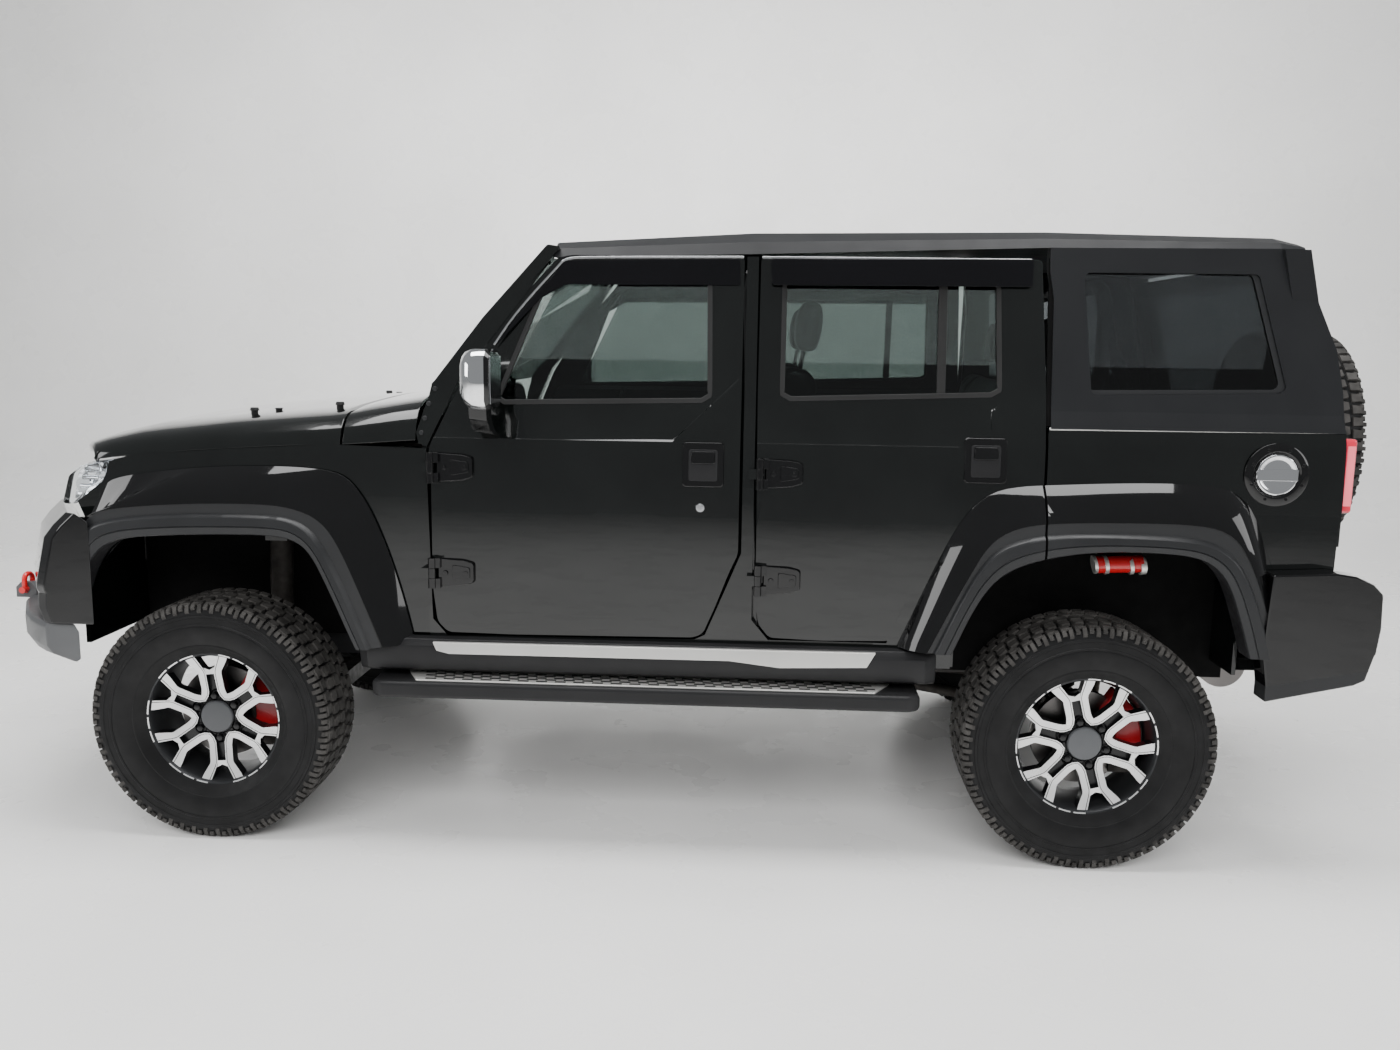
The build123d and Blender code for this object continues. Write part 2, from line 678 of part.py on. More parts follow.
def make_floor():
    """Floor, bulkhead and tail sill, as solids that touch."""
    rear_edge = axle_rear + housing_front_share * arch_reach
    housing_low_x = axle_rear - housing_rear_share * arch_reach
    floor = box(body_rear, bulkhead_x + bulkhead_depth, -floor_half_width, floor_half_width, sill_height,
                seat_base)
    hollow = box(housing_low_x, rear_edge, housing_inner, body_half_width, 0, housing_top)
    post = box(body_rear, body_rear + post_depth, post_inner, body_half_width, 0, roof_height)
    floor = floor - hollow - mirrored(hollow) - post - mirrored(post)
    bulkhead = box(bulkhead_x, bulkhead_x + bulkhead_depth, -floor_half_width, floor_half_width, seat_base,
                   cowl_low)
    post = box(bulkhead_x - overrun, bulkhead_x + bulkhead_depth, floor_half_width - pillar_inner_wall,
               body_half_width, 0, roof_height)
    bulkhead = bulkhead - post - mirrored(post)
    tail = box(body_rear, body_rear + post_depth, -post_inner, post_inner, seat_base, tail_sill_top)
    return [floor, bulkhead, tail]


def make_housing():
    """The left rear wheel housing, as five flat walls."""
    front = axle_rear + housing_front_share * arch_reach
    rear = axle_rear - housing_rear_share * arch_reach
    outer = body_half_width - skin_wall
    under = housing_top - housing_wall
    room = grown_plate(rear_door_outline, shut_gap, body_half_width - lower_wall - overrun,
                       body_half_width + overrun)
    walls = [
        box(rear, front, housing_inner, outer, under, housing_top) - room,
        box(rear, front, housing_inner, housing_inner + housing_wall, sill_height, under),
        box(rear, rear + housing_wall, housing_inner + housing_wall, outer, sill_height, under),
        box(front - housing_wall, front, housing_inner + housing_wall, outer, sill_height, under) - room,
    ]
    return walls


def make_body_side():
    """The left side: sill, pillars and roof rail round the doors, quarter, wheel housing and rear post."""
    sill = box(cover_rear, sill_front, floor_half_width, body_half_width, sill_height, door_bottom - shut_gap)
    low = bonnet_stations[0][2]
    wall_line = [
        (front_hinge_x + shut_gap * 5, sill_height), (front_hinge_x + shut_gap, seat_base),
        (front_hinge_x + shut_gap, low),
        (pillar_foot_x, low), (screen_foot_x, screen_foot_z),
        (roof_front - shut_gap, roof_front_bottom - seat_gap),
        (rear_latch_x + 2 * overrun, door_top + shut_gap), (rear_latch_x + 2 * overrun, belt_height),
        (rear_latch_x, quarter_split), (body_rear, quarter_split), (body_rear, sill_height),
    ]
    wall = section_band(body_rear, pillar_foot_x, lower_wall, pillar_inner_wall)
    wall = wall & side_plate(wall_line, 0, body_half_width + overrun)
    for outline in (front_door_outline, rear_door_outline):
        wall -= grown_plate(outline, shut_gap, 0, body_half_width + overrun)
    post = box(front_hinge_x + shut_gap, bulkhead_x + bulkhead_depth, floor_half_width - pillar_inner_wall,
               floor_half_width + upper_wall, seat_base, cowl_low)
    upper_post = box(front_hinge_x + shut_gap, cowl_rear - seat_gap, floor_half_width - pillar_inner_wall,
                     floor_half_width + upper_wall / 2, cowl_low, low + overrun)
    foot = box(front_hinge_x + shut_gap, bulkhead_x + bulkhead_depth, floor_half_width,
               floor_half_width + upper_wall,
               sill_height, seat_base)
    wall += post + upper_post + foot
    rear_edge = axle_rear + housing_front_share * arch_reach
    behind = [(quarter_front + shut_gap, 0), (quarter_front + shut_gap, housing_top),
              (body_rear - overrun, housing_top), (body_rear - overrun, 0)]
    wall -= side_plate(behind, 0, body_half_width + overrun)
    wall -= box(quarter_front, rear_edge, 0, body_half_width + overrun, 0, housing_top)
    quarter = section_band(body_rear, quarter_front, skin_wall, skin_wall)
    quarter = quarter & side_plate(quarter_outline(), 0, body_half_width + overrun)
    wall = wall + sill + quarter
    rear_post = box(body_rear, body_rear + post_depth, post_inner, body_half_width - skin_wall, sill_height,
                    quarter_split)
    rear_post = rear_post - wall
    return [wall, rear_post] + make_housing()


def quarter_outline():
    """The rear quarter's skin down to the arch opening and the bumper."""
    return from_shares(quarter_skin_shares, quarter_front, body_rear, tail_sill_top - overrun, quarter_split)


# Cowl, bonnet and nose
cowl_low = shoulder_height + belt_rise * 0.26
cowl_rear = 706.0
cowl_front = 980.0
screen_foot_x = 662.0
screen_foot_z = belt_height * 1.036
screen_head_x = 300.0
roof_front_bottom = door_top * 0.9951
pillar_foot_x = 700.0
bonnet_front = 2010.0
bonnet_edge_half_width = body_half_width * 0.874
bonnet_side_half_width = body_half_width * 0.993
bonnet_crown = 27.0
bonnet_wall = 14.0
nose_setback = 25.0
cowl_chamfer = 10.0
# Bonnet: (share from the cowl to the nose, edge and lower line as shares of the rise from shoulder to belt)
bonnet_shares = [(0.0, 0.828, 0.464), (0.32, 0.716, 0.384), (0.61, 0.584, 0.288), (0.74, 0.448, 0.232),
                 (1.0, 0.184, 0.08)]
bonnet_stations = [
    (along, shoulder_height + edge * belt_rise, shoulder_height + low * belt_rise)
    for along, edge, low in bonnet_shares
]
cowl_rear_edge = shoulder_height + belt_rise * 1.016
cowl_rear_low = shoulder_height + belt_rise * 0.54
nose_shares = [(1.0, 0.0), (0.988, 0.46), (0.945, 0.68), (0.909, 0.81), (0.866, 0.96), (0.859, 1.0)]
bonnet_axis_x = 938.0
bonnet_axis_drop = 2.0
bonnet_axis_z = bonnet_stations[0][1] - bonnet_axis_drop
hinge_pocket_y = 600.0
hinge_pocket_half = 16.0
hinge_arm_half = 10.0


def bonnet_section(edge, low, inset=0.0):
    """A cross outline of the bonnet's skin, full width, set in by a wall if inset is given."""
    half = [
        (bonnet_edge_half_width - inset, edge - inset), (bonnet_side_half_width - inset, low + inset / 2),
        (bonnet_side_half_width - inset, low - bonnet_wall),
    ]
    return [(0, edge + bonnet_crown - inset)] + half + [(-y, z) for y, z in reversed(half)]


def nose_plan(inset=0.0, rear=None):
    """The nose outline in plan."""
    back = cowl_rear if rear is None else rear
    front = bonnet_front - inset
    half = [(front * share, bonnet_side_half_width * width) for share, width in nose_shares]
    half[-1] = (half[-1][0], bonnet_side_half_width + overrun)
    right = [(x, -y) for x, y in reversed(half[1:])]
    corner = bonnet_side_half_width + overrun
    return [(back, -corner)] + right + half + [(back, corner)]


def make_bonnet():
    """The clamshell bonnet: a crowned skin with turned-down sides and nose, and its hinge arms."""
    length = bonnet_front - cowl_front - shut_gap
    start = cowl_front + shut_gap
    outer = cross_loft([(start + share * length, bonnet_section(edge, low)) for share, edge,
                        low in bonnet_stations])
    inner = cross_loft([(start + share * length, bonnet_section(edge, low, bonnet_wall))
                        for share, edge, low in bonnet_stations])
    skin = outer & plan_plate(nose_plan(), 0, roof_height)
    hollow = inner & plan_plate(nose_plan(bonnet_wall), 0, roof_height)
    skin -= hollow
    below = cross_loft([(start + share * length, [
        (-bonnet_side_half_width - overrun, low), (-bonnet_side_half_width - overrun, low - arch_rise),
        (bonnet_side_half_width + overrun, low - arch_rise), (bonnet_side_half_width + overrun, low)])
        for share, edge, low in bonnet_stations])
    skin -= below
    for side in (-1, 1):
        y = side * hinge_pocket_y
        skin += box(bonnet_axis_x, start + nose_setback, y - hinge_arm_half, y + hinge_arm_half,
                    bonnet_axis_z - hinge_arm_half, bonnet_axis_z)
        eye_low = (bonnet_axis_x, y - hinge_arm_half, bonnet_axis_z)
        eye_high = (bonnet_axis_x, y + hinge_arm_half, bonnet_axis_z)
        skin += rod(eye_low, eye_high, hinge_arm_half)
        skin -= rod((bonnet_axis_x, y - overrun, bonnet_axis_z), (bonnet_axis_x, y + overrun, bonnet_axis_z),
                    hinge_arm_half / 2 + seat_gap)
    return skin


def make_cowl():
    """The fixed panel between the bonnet and the windscreen, with pockets for the hinge arms."""
    edge, low = bonnet_stations[0][1:]
    outer = cross_loft([
        (cowl_front, bonnet_section(edge - cowl_chamfer, low)),
        (cowl_front - cowl_chamfer, bonnet_section(edge, low)),
        (cowl_rear, bonnet_section(cowl_rear_edge, cowl_rear_low)),
    ])
    cowl = outer & box(cowl_rear, cowl_front, -body_half_width, body_half_width, cowl_low, roof_height)
    wing = box(0, cowl_front + overrun, body_half_width - lower_wall * 0.6, body_half_width + overrun, 0,
               bonnet_stations[0][2])
    cowl = cowl - wing - mirrored(wing)
    well_top = bonnet_axis_z - hinge_arm_half * 4
    cowl -= box(cowl_rear + nose_setback, cowl_front - nose_setback, -bonnet_edge_half_width + nose_setback,
                bonnet_edge_half_width - nose_setback, cowl_low - overrun, well_top)
    for side in (-1, 1):
        y = side * hinge_pocket_y
        cowl -= box(bonnet_axis_x - hinge_pocket_half * 2, cowl_front + overrun, y - hinge_pocket_half,
                    y + hinge_pocket_half, well_top - overrun, roof_height)
        cowl += rod((bonnet_axis_x, y - hinge_pocket_half - hinge_arm_half, bonnet_axis_z),
                    (bonnet_axis_x, y + hinge_pocket_half + hinge_arm_half, bonnet_axis_z),
                    hinge_arm_half / 2)
    return cowl


# Front wings with their wheel housings
wing_front = 1800.0
wing_liner_front = 1795.0
wing_liner_rear = 880.0
liner_top = 1010.0
wing_rail_top = shoulder_height


def wing_outline():
    """The wing's skin: under the bonnet line, round the lamp and down to the arch opening."""
    stations = [(cowl_front + share * (bonnet_front - cowl_front), low - shut_gap) for share, edge,
                low in bonnet_stations]
    lamp = [(axle_front + 0.70 * arch_reach, stations[3][1] - shut_gap),
            (axle_front + 0.75 * arch_reach, hub_height + 1.23 * arch_rise),
            (axle_front + 0.95 * arch_reach, hub_height + 1.12 * arch_rise)]
    arch = [(axle_front + sx * arch_reach, hub_height + sz * arch_rise + opening_margin)
            for sx, sz in front_opening_shares[1:5]]
    leg = [(wing_liner_rear, door_bottom), (front_hinge_x + shut_gap, door_bottom)]
    return [(front_hinge_x + shut_gap, stations[0][1] - shut_gap)] + stations[:3] + lamp + arch + leg


def make_wing():
    """The left front wing: outer skin with its hinge tabs, then the flat walls over the wheel."""
    skin = section_band(front_hinge_x, wing_front, skin_wall, skin_wall)
    skin = skin & side_plate(wing_outline(), 0, body_half_width + overrun)
    skin = skin & box(0, nose_x, 0, bonnet_side_half_width + seat_gap, 0, roof_height)
    for z in (hinge_low_z, hinge_high_z):
        skin = skin + hinge_body_half(front_hinge_axis, z)
    outer = bonnet_side_half_width - skin_wall
    front, rear = wing_liner_front + liner_wall, wing_liner_rear - liner_wall
    under = liner_top - liner_wall
    walls = [
        box(rear, front, liner_inner - liner_wall, outer, under, liner_top),
        box(rear, front, liner_inner - liner_wall, liner_inner, sill_height, under),
        box(rear, wing_liner_rear, liner_inner, outer, sill_height, under),
        box(wing_liner_front, front, liner_inner, outer, sill_height, under),
        box(rear, front, liner_inner - liner_wall, liner_inner, liner_top, wing_rail_top - liner_wall),
        box(rear, axle_front + arch_reach / 2, liner_inner - liner_wall, outer, wing_rail_top - liner_wall,
            wing_rail_top),
    ]
    mount = box(axle_front - damper_back - damper_radius, axle_front - damper_back + damper_radius,
                liner_inner,
                liner_inner + 2.5 * damper_radius, damper_top + seat_gap, under)
    return [skin] + [wall - skin for wall in walls] + [mount]


# Nose: grille, lamps and bumpers
grille_half_width = body_half_width * 0.6264
grille_low = 880.0
grille_top = 1160.0
grille_depth = 45.0
grille_frame = 40.0
grille_bar = 26.0
grille_slots = 7
lamp_inner = grille_half_width + seat_gap
lamp_low = 1045.0
lamp_top = 1165.0
lamp_rear_share = 0.72
lamp_depth = 130.0
bar_low = 560.0
bar_top = 688.0
bumper_low = bar_top + seat_gap
bumper_wall = 60.0
bumper_rear = 1815.0
bar_wall = 45.0
bumper_plan_shares = [(0.966, 0.0), (0.960, 0.47), (0.935, 0.68), (0.895, 0.82), (0.865, 0.92), (0.834, 1.0)]
bar_plan_shares = [(1.0, 0.0), (0.993, 0.42), (0.970, 0.63), (0.922, 0.81), (0.878, 0.92), (0.842, 0.98)]


def plan_band(shares, width, rear, wall):
    """A curved nose band in plan: outline points down both sides, and the same set in by a wall."""
    def ring(inset, back):
        half = [(nose_x * sx - inset, (width - inset) * sy) for sx, sy in shares]
        right = [(x, -y) for x, y in reversed(half[1:])]
        return [(back, -half[-1][1])] + right + half + [(back, half[-1][1])]
    return ring(0.0, rear), ring(wall, rear - 3 * wall)


def make_grille():
    """The upright grille panel with its row of slots."""
    front = [(bonnet_front - nose_setback, 0), (bonnet_front - 2 * nose_setback, grille_half_width * 0.72),
             (bonnet_front - 4 * nose_setback, grille_half_width)]
    edge = [(x, -y) for x, y in reversed(front[1:])] + front
    rear = wing_liner_front + liner_wall + grille_depth + seat_gap
    panel = plan_plate(edge + [(rear, grille_half_width), (rear, -grille_half_width)], grille_low, grille_top)
    hollow = [(x - grille_depth / 2, y * (1 - grille_bar / grille_half_width)) for x, y in edge]
    panel -= plan_plate(hollow + [(rear - overrun, grille_half_width - grille_bar),
                                  (rear - overrun, grille_bar - grille_half_width)],
                        grille_low + grille_bar, grille_top - grille_bar)
    pitch = (2 * grille_half_width - 2 * grille_frame + grille_bar) / grille_slots
    for index in range(grille_slots):
        left = -grille_half_width + grille_frame + index * pitch
        panel -= box(0, nose_x, left, left + pitch - grille_bar, grille_low + grille_frame,
                     grille_top - grille_frame)
    back = box(wing_liner_front + liner_wall + seat_gap, wing_liner_front + liner_wall + grille_depth,
               rail_width + overrun - rail_outer, rail_outer - rail_width - overrun,
               bar_low + bar_wall / 2 + seat_gap,
               grille_top - grille_frame)
    return panel, back


def make_lamps():
    """Headlamp housings that wrap from the nose to the wing."""
    lamp = plan_plate(nose_plan(nose_setback / 2), lamp_low, lamp_top) - plan_plate(
        nose_plan(nose_setback / 2 + lamp_depth, 0), 0, roof_height)
    side = grown_plate(wing_outline(), shut_gap, bonnet_side_half_width - skin_wall - shut_gap, track)
    rear = axle_front + lamp_rear_share * arch_reach
    return (lamp & box(rear, nose_x, lamp_inner, bonnet_side_half_width, lamp_low, lamp_top)) - side


def make_front_bumper():
    """The moulded bumper under the lamps, open behind."""
    outer, inner = plan_band(bumper_plan_shares, flare_half_width, bumper_rear, bumper_wall)
    bumper = plan_plate(outer, bumper_low, lamp_low - shut_gap)
    bumper -= plan_plate(inner, 0, roof_height)
    bumper -= box(0, bumper_rear, -track, track, 0, roof_height)
    centre = box(0, nose_x, -grille_half_width - overrun, grille_half_width + overrun,
                 grille_low - seat_gap, roof_height)
    slope = side_plate([(bumper_rear, lamp_low + overrun), (nose_x * 0.86, lamp_low + overrun),
                        (nose_x * 0.88, lamp_low - 2 * overrun),
                        (nose_x * 0.91, grille_low + overrun), (nose_x + overrun, grille_low - overrun),
                        (nose_x + overrun, roof_height), (bumper_rear, roof_height)], -track, track)
    space = flare_space(axle_front, front_flare_shares)
    return bumper - centre - slope - space - mirrored(space)


def make_steel_bar():
    """The steel bar under the bumper."""
    outer, inner = plan_band(bar_plan_shares, flare_half_width, bumper_rear + shut_gap, bar_wall)
    bar = plan_plate(outer, bar_low, bar_top) - plan_plate(inner, bar_low + bar_wall / 2, roof_height)
    bar = bar & box(bumper_rear + shut_gap, nose_x + overrun, -track, track, 0, roof_height)
    space = flare_space(axle_front, front_flare_shares)
    bar = bar - space - mirrored(space)
    pin_z = bar_top + shackle_bar * 2
    ear = box(shackle_x - shackle_bar * 2, shackle_x + shackle_bar * 2, shackle_y - shackle_ear_half,
              shackle_y + shackle_ear_half, bar_top - overrun / 2, pin_z + shackle_bar * 2)
    ear -= rod((shackle_x, shackle_y - overrun * 2, pin_z), (shackle_x, shackle_y + overrun * 2, pin_z),
               shackle_bar + seat_gap)
    bar = bar + ear + mirrored(ear)
    foot = box(rail_front + seat_gap, nose_x - bar_wall, rail_outer - rail_width, rail_outer,
               bar_low + bar_wall / 2 - seat_gap, bar_top - bar_wall / 3 + seat_gap)
    return bar + foot + mirrored(foot)


# Tow shackles on the steel bar
shackle_y = grille_half_width * 1.0092
shackle_bar = 11.0
shackle_inner = 22.0
shackle_length = 62.0
shackle_ear_half = 12.0
shackle_x = nose_x * 0.976


def make_shackle():
    """A bow shackle: a bent bar closed by its pin, hung on an ear of the bar."""
    low = bar_top + shackle_bar
    bow = bent_tube([
        (shackle_x, shackle_y - shackle_inner, low), (shackle_x, shackle_y - shackle_inner,
                                                      low + shackle_length),
        (shackle_x, shackle_y + shackle_inner, low + shackle_length),
        (shackle_x, shackle_y + shackle_inner, low),
    ], shackle_bar * 0.8, shackle_inner * 0.9)
    pin = rod((shackle_x, shackle_y - shackle_inner * 1.8, low + shackle_bar),
              (shackle_x, shackle_y + shackle_inner * 1.8, low + shackle_bar), shackle_bar)
    return bow + pin


# Rear bumper
rear_bumper_low = 548.0
rear_bumper_top = 945.0
rear_bumper_face = -2185.0
rear_bumper_front = -1862.0
rear_bumper_notch_half = 420.0
rear_bumper_notch_top = 850.0
rear_bumper_wall = 60.0
rear_bumper_groove = 5.0
rear_bumper_shares = [
    (1.0, 0.0), (1.0, 0.98), (0.44, 1.0), (0.25, 0.97), (0.01, 0.86), (0.0, 0.55), (0.03, 0.38), (0.10, 0.19),
]
rear_groove_shares = [(1.1, 0.30), (1.1, 0.34), (-0.1, 0.42), (-0.1, 0.38)]


def make_rear_bumper():
    """The rear bumper, lower in the middle for the spare wheel, with wings behind the flares."""
    half = flare_half_width
    outer = [(rear_bumper_front, -half), (rear_bumper_front, half), (rear_bumper_face + 2 * overrun, half),
             (rear_bumper_face, half - 4 * overrun), (rear_bumper_face, -half + 4 * overrun),
             (rear_bumper_face + 2 * overrun, -half)]
    bumper = plan_plate(outer, rear_bumper_low, rear_bumper_top)
    spans = (rear_bumper_face, rear_bumper_front, rear_bumper_low, rear_bumper_top)
    bumper = bumper & side_plate(from_shares(rear_bumper_shares, *spans), -half, half)
    inner_x = rear_bumper_face + rear_bumper_wall
    bumper -= box(inner_x, 0, -half + rear_bumper_wall, half - rear_bumper_wall, 0, roof_height)
    bumper -= box(rear_bumper_face - overrun, 0, -rear_bumper_notch_half, rear_bumper_notch_half,
                  rear_bumper_notch_top, roof_height)
    clear = box(body_rear - seat_gap, 0, -body_half_width - seat_gap, body_half_width + seat_gap,
                sill_height - seat_gap, roof_height)
    under = side_plate(from_shares(rear_groove_shares, *spans), half - rear_bumper_groove, half + overrun)
    space = flare_space(axle_rear, rear_flare_shares)
    arm = box(inner_x - overrun / 2, rail_rear - seat_gap, rail_outer - rail_width * 0.8,
              rail_outer - rail_width * 0.2,
              frame_low + rail_height / 6, frame_top - seat_gap * 2)
    arm += box(inner_x - overrun / 2, body_rear - seat_gap, rail_outer - rail_width * 0.8, rail_outer - rail_width * 0.2,
               frame_low + rail_height / 6, rear_bumper_low + 2.5 * rear_bumper_wall)
    return bumper - clear - under - mirrored(under) - space - mirrored(space) + arm + mirrored(arm)


# Roof and upper quarters
roof_crown = 9.0
roof_wall = 35.0
seat_step = 8.0
roof_rail_inner = body_half_width * 0.747
roof_front = 292.0
roof_rear = -1955.0
# Roof: (share from front to rear, edge as a share of the roof height, bottom as a share of the door top)
roof_shares = [(0.0, 0.9767, 0.9951), (0.272, 0.9943, 1.0032), (0.664, 1.0, 1.0179), (0.968, 0.9938, 1.0179),
               (1.0, 0.985, 1.0146)]
roof_stations = [
    (roof_front + along * (roof_rear - roof_front), roof_height * edge, door_top * low) for along, edge,
    low in roof_shares
]
quarter_window_shares = [(0.115, 0.865), (0.70, 0.865), (0.805, 0.215), (0.15, 0.19)]


def roof_section(edge, low):
    """A cross outline of the roof, full width."""
    half = [
        (roof_edge_half_width, edge), (drip_half_width, edge - (edge - low) * 0.45),
        (lean_top_half_width - seat_step, low),
    ]
    return [(0, edge + roof_crown)] + half + [(-y, z) for y, z in reversed(half)]


def roof_hollow(edge, low):
    """The space under the roof skin between the side rails."""
    half = [(roof_rail_inner, edge - roof_wall), (roof_rail_inner, low - overrun)]
    return [(0, edge + roof_crown - roof_wall)] + half + [(-y, z) for y, z in reversed(half)]


def make_roof():
    """The roof with its side rails, and the hardtop's quarters down to the split line."""
    outer = cross_loft([(x, roof_section(edge, low)) for x, edge, low in roof_stations])
    inner = cross_loft([(x, roof_hollow(edge, low)) for x, edge, low in roof_stations])
    inner = inner & box(roof_rear + roof_wall, roof_front - roof_wall, -track, track, 0, track * 2)
    roof = outer - inner
    rear_x = body_rear - overrun
    front_edge = [(x - latch_swing, z) for x, z in rear_door_outline[-2:]]
    line = [(rear_latch_x - latch_swing, quarter_split + seat_gap)] + front_edge + [
        (front_edge[-1][0], roof_stations[2][2]), (roof_rear + overrun, roof_stations[3][2]),
        (body_rear, quarter_split + seat_gap),
    ]
    quarter_outer = [(lean_shoulder_half_width - seat_step, quarter_split),
                     (lean_belt_half_width, belt_height),
                     (lean_top_half_width - seat_step / 2, roof_stations[3][2] + shut_gap)]
    wall = cross_plate(quarter_outer + [(y - upper_wall, z) for y, z in reversed(quarter_outer)], rear_x,
                       rear_latch_x)
    wall = wall & side_plate(line, 0, body_half_width)
    window = from_shares(quarter_window_shares, rear_latch_x, body_rear, quarter_split, roof_stations[3][2])
    wall -= side_plate(window, 0, body_half_width + overrun, [latch_inset] * 4)
    post_line = [(body_rear, quarter_split + seat_gap), (roof_rear, roof_stations[3][2]),
                 (roof_rear + post_depth, roof_stations[3][2]),
                 (body_rear + post_depth, quarter_split + seat_gap)]
    post = side_plate(post_line, post_inner, lean_belt_half_width - upper_wall)
    side = wall + post
    return roof + side + mirrored(side), window


# Tailgate with the spare wheel
tailgate_low = 960.0
tailgate_high = 1850.0
tailgate_half_width = body_half_width * 0.784
tailgate_wall = 60.0
tailgate_upper_wall = 42.0
tailgate_lean = 0.27
spare_height = 1265.0
spare_x = -2247.5
carrier_radius_spare = 70.0
tail_axis_x = -2085.0
tail_axis_y = -body_half_width * 0.7954
tail_window_low = 1420.0
tail_window_high = 1790.0
tail_window_half = tailgate_half_width * 0.865


def make_tailgate():
    """The side-hinged tailgate: upright below the belt, leaning forward round its window above."""
    top_x = body_rear + (tailgate_high - quarter_split) * tailgate_lean
    profile = [(body_rear + shut_gap, tailgate_low), (body_rear + shut_gap, quarter_split),
               (top_x + shut_gap, tailgate_high),
               (top_x + shut_gap + tailgate_upper_wall, tailgate_high),
               (body_rear + tailgate_wall + shut_gap, quarter_split),
               (body_rear + tailgate_wall + shut_gap, tailgate_low)]
    door = side_plate(profile, -tailgate_half_width, tailgate_half_width)
    low, high = tail_window_low, tail_window_high
    door -= box(body_rear - overrun, 0, -tail_window_half, tail_window_half, low, high)
    carrier = rod((body_rear + shut_gap * 2, 0, spare_height), (spare_x - hub_offset, 0, spare_height),
                  carrier_radius_spare)
    plate = box(body_rear - nose_setback, body_rear + shut_gap * 2, -carrier_radius_spare * 2,
                carrier_radius_spare * 2,
                spare_height - carrier_radius_spare * 2, quarter_split)
    return door + carrier + plate


def make_tailgate_glass():
    """The tailgate's glass, set in the leaning frame."""
    foot = body_rear + shut_gap + glass_rebate
    low_x = foot + (tail_window_low - quarter_split) * tailgate_lean
    high_x = foot + (tail_window_high - quarter_split) * tailgate_lean
    sheet = [(low_x, tail_window_low), (high_x, tail_window_high),
             (high_x + glass_thickness, tail_window_high),
             (low_x + glass_thickness, tail_window_low)]
    return side_plate(sheet, -tail_window_half, tail_window_half)


def make_screen():
    """The windscreen between the pillars."""
    sheet = [(screen_foot_x + overrun, screen_foot_z - overrun * 1.5),
             (screen_head_x + shut_gap, roof_front_bottom),
             (screen_head_x + shut_gap - glass_thickness * 2, roof_front_bottom),
             (screen_foot_x + overrun - glass_thickness * 2, screen_foot_z - overrun * 1.5)]
    inside = [(lean_belt_half_width - pillar_inner_wall - seat_gap, belt_height),
              (lean_top_half_width - pillar_inner_wall - seat_gap, door_top + shut_gap)]
    inside = inside + [(-y, z) for y, z in reversed(inside)]
    return side_plate(sheet, -track / 2, track / 2) & cross_plate(inside, 0, nose_x)


# Inside the cabin
seat_width = 500.0
seat_y = 380.0
seat_front = 170.0
seat_back = -340.0
seat_top = 950.0
seat_back_top = 1540.0
seat_thickness = 130.0
seat_lean = 120.0
head_half_width = 130.0
head_top = 1740.0
rear_seat_front = -640.0
rear_seat_back = -1130.0
rear_seat_clearance = 30.0
rear_seat_half = housing_inner - rear_seat_clearance
wheel_ring_radius = 185.0
wheel_ring_bar = 14.0
wheel_ring_x = 250.0
wheel_ring_z = 1200.0
wheel_ring_tilt = 115.0
dash_rear = 340.0
dash_low = 1045.0
dash_top = 1325.0
console_top = 890.0
dash_shares = [(0.0, 0.0), (0.05, 0.68), (0.275, 0.945), (0.775, 1.0), (1.0, 0.607), (1.0, 0.0)]
dash_half_width = body_half_width * 0.81


def make_seat(front, back, y_low, y_high, top, back_top):
    """A seat: a cushion on its base, a leaning back and a head rest."""
    cushion = side_plate([(back, seat_base), (front - overrun, seat_base), (front, top - overrun),
                          (front - overrun * 2, top),
                          (back, top - overrun)], y_low, y_high)
    rest = side_plate([(back, seat_base + overrun), (back, top), (back - seat_lean, back_top),
                       (back - seat_lean - seat_thickness, back_top),
                       (back - seat_thickness, seat_base + overrun)], y_low, y_high)
    middle = (y_low + y_high) / 2
    head = side_plate([(back - seat_lean - overrun, back_top - overrun),
                       (back - seat_lean - overrun * 2, head_top),
                       (back - seat_lean - seat_thickness * 0.8, head_top),
                       (back - seat_lean - seat_thickness * 0.8, back_top - overrun)],
                      middle - head_half_width, middle + head_half_width)
    return cushion + rest + head


def make_dash():
    """The dashboard, the middle console and the steering wheel on its column, as solids that touch."""
    length = bulkhead_x - dash_rear
    profile = from_shares(dash_shares, dash_rear, bulkhead_x, dash_low, dash_top)
    dash = side_plate(profile, -dash_half_width, dash_half_width)
    half = seat_width * 0.22
    console = box(seat_back, dash_rear + length * 0.15, -half, half, seat_base, console_top)
    stack = box(dash_rear + length * 0.15, bulkhead_x - length * 0.25, -half, half, seat_base, dash_low)
    place = Pos(wheel_ring_x, seat_y, wheel_ring_z) * Rot(0, wheel_ring_tilt, 0)
    bar = wheel_ring_bar
    hub = Cylinder(bar * 4, bar * 3)
    spokes = Box(bar * 2, 2 * wheel_ring_radius, bar)
    spokes = spokes + Pos(wheel_ring_radius / 2, 0, 0) * Box(wheel_ring_radius, bar * 2, bar)
    column = Pos(0, 0, wheel_ring_radius * 0.75) * Cylinder(bar * 2, wheel_ring_radius * 1.5)
    wheel = place * (ring(wheel_ring_radius, bar) + hub + spokes + column)
    return [dash, console, stack, wheel - dash]


roll_bar_radius = 24.0
hoop_x = -1425.0
hoop_half_width = 600.0
hoop_top = 1780.0
hoop_bend = 120.0
stay_drop = 150.0
stay_foot = 100.0


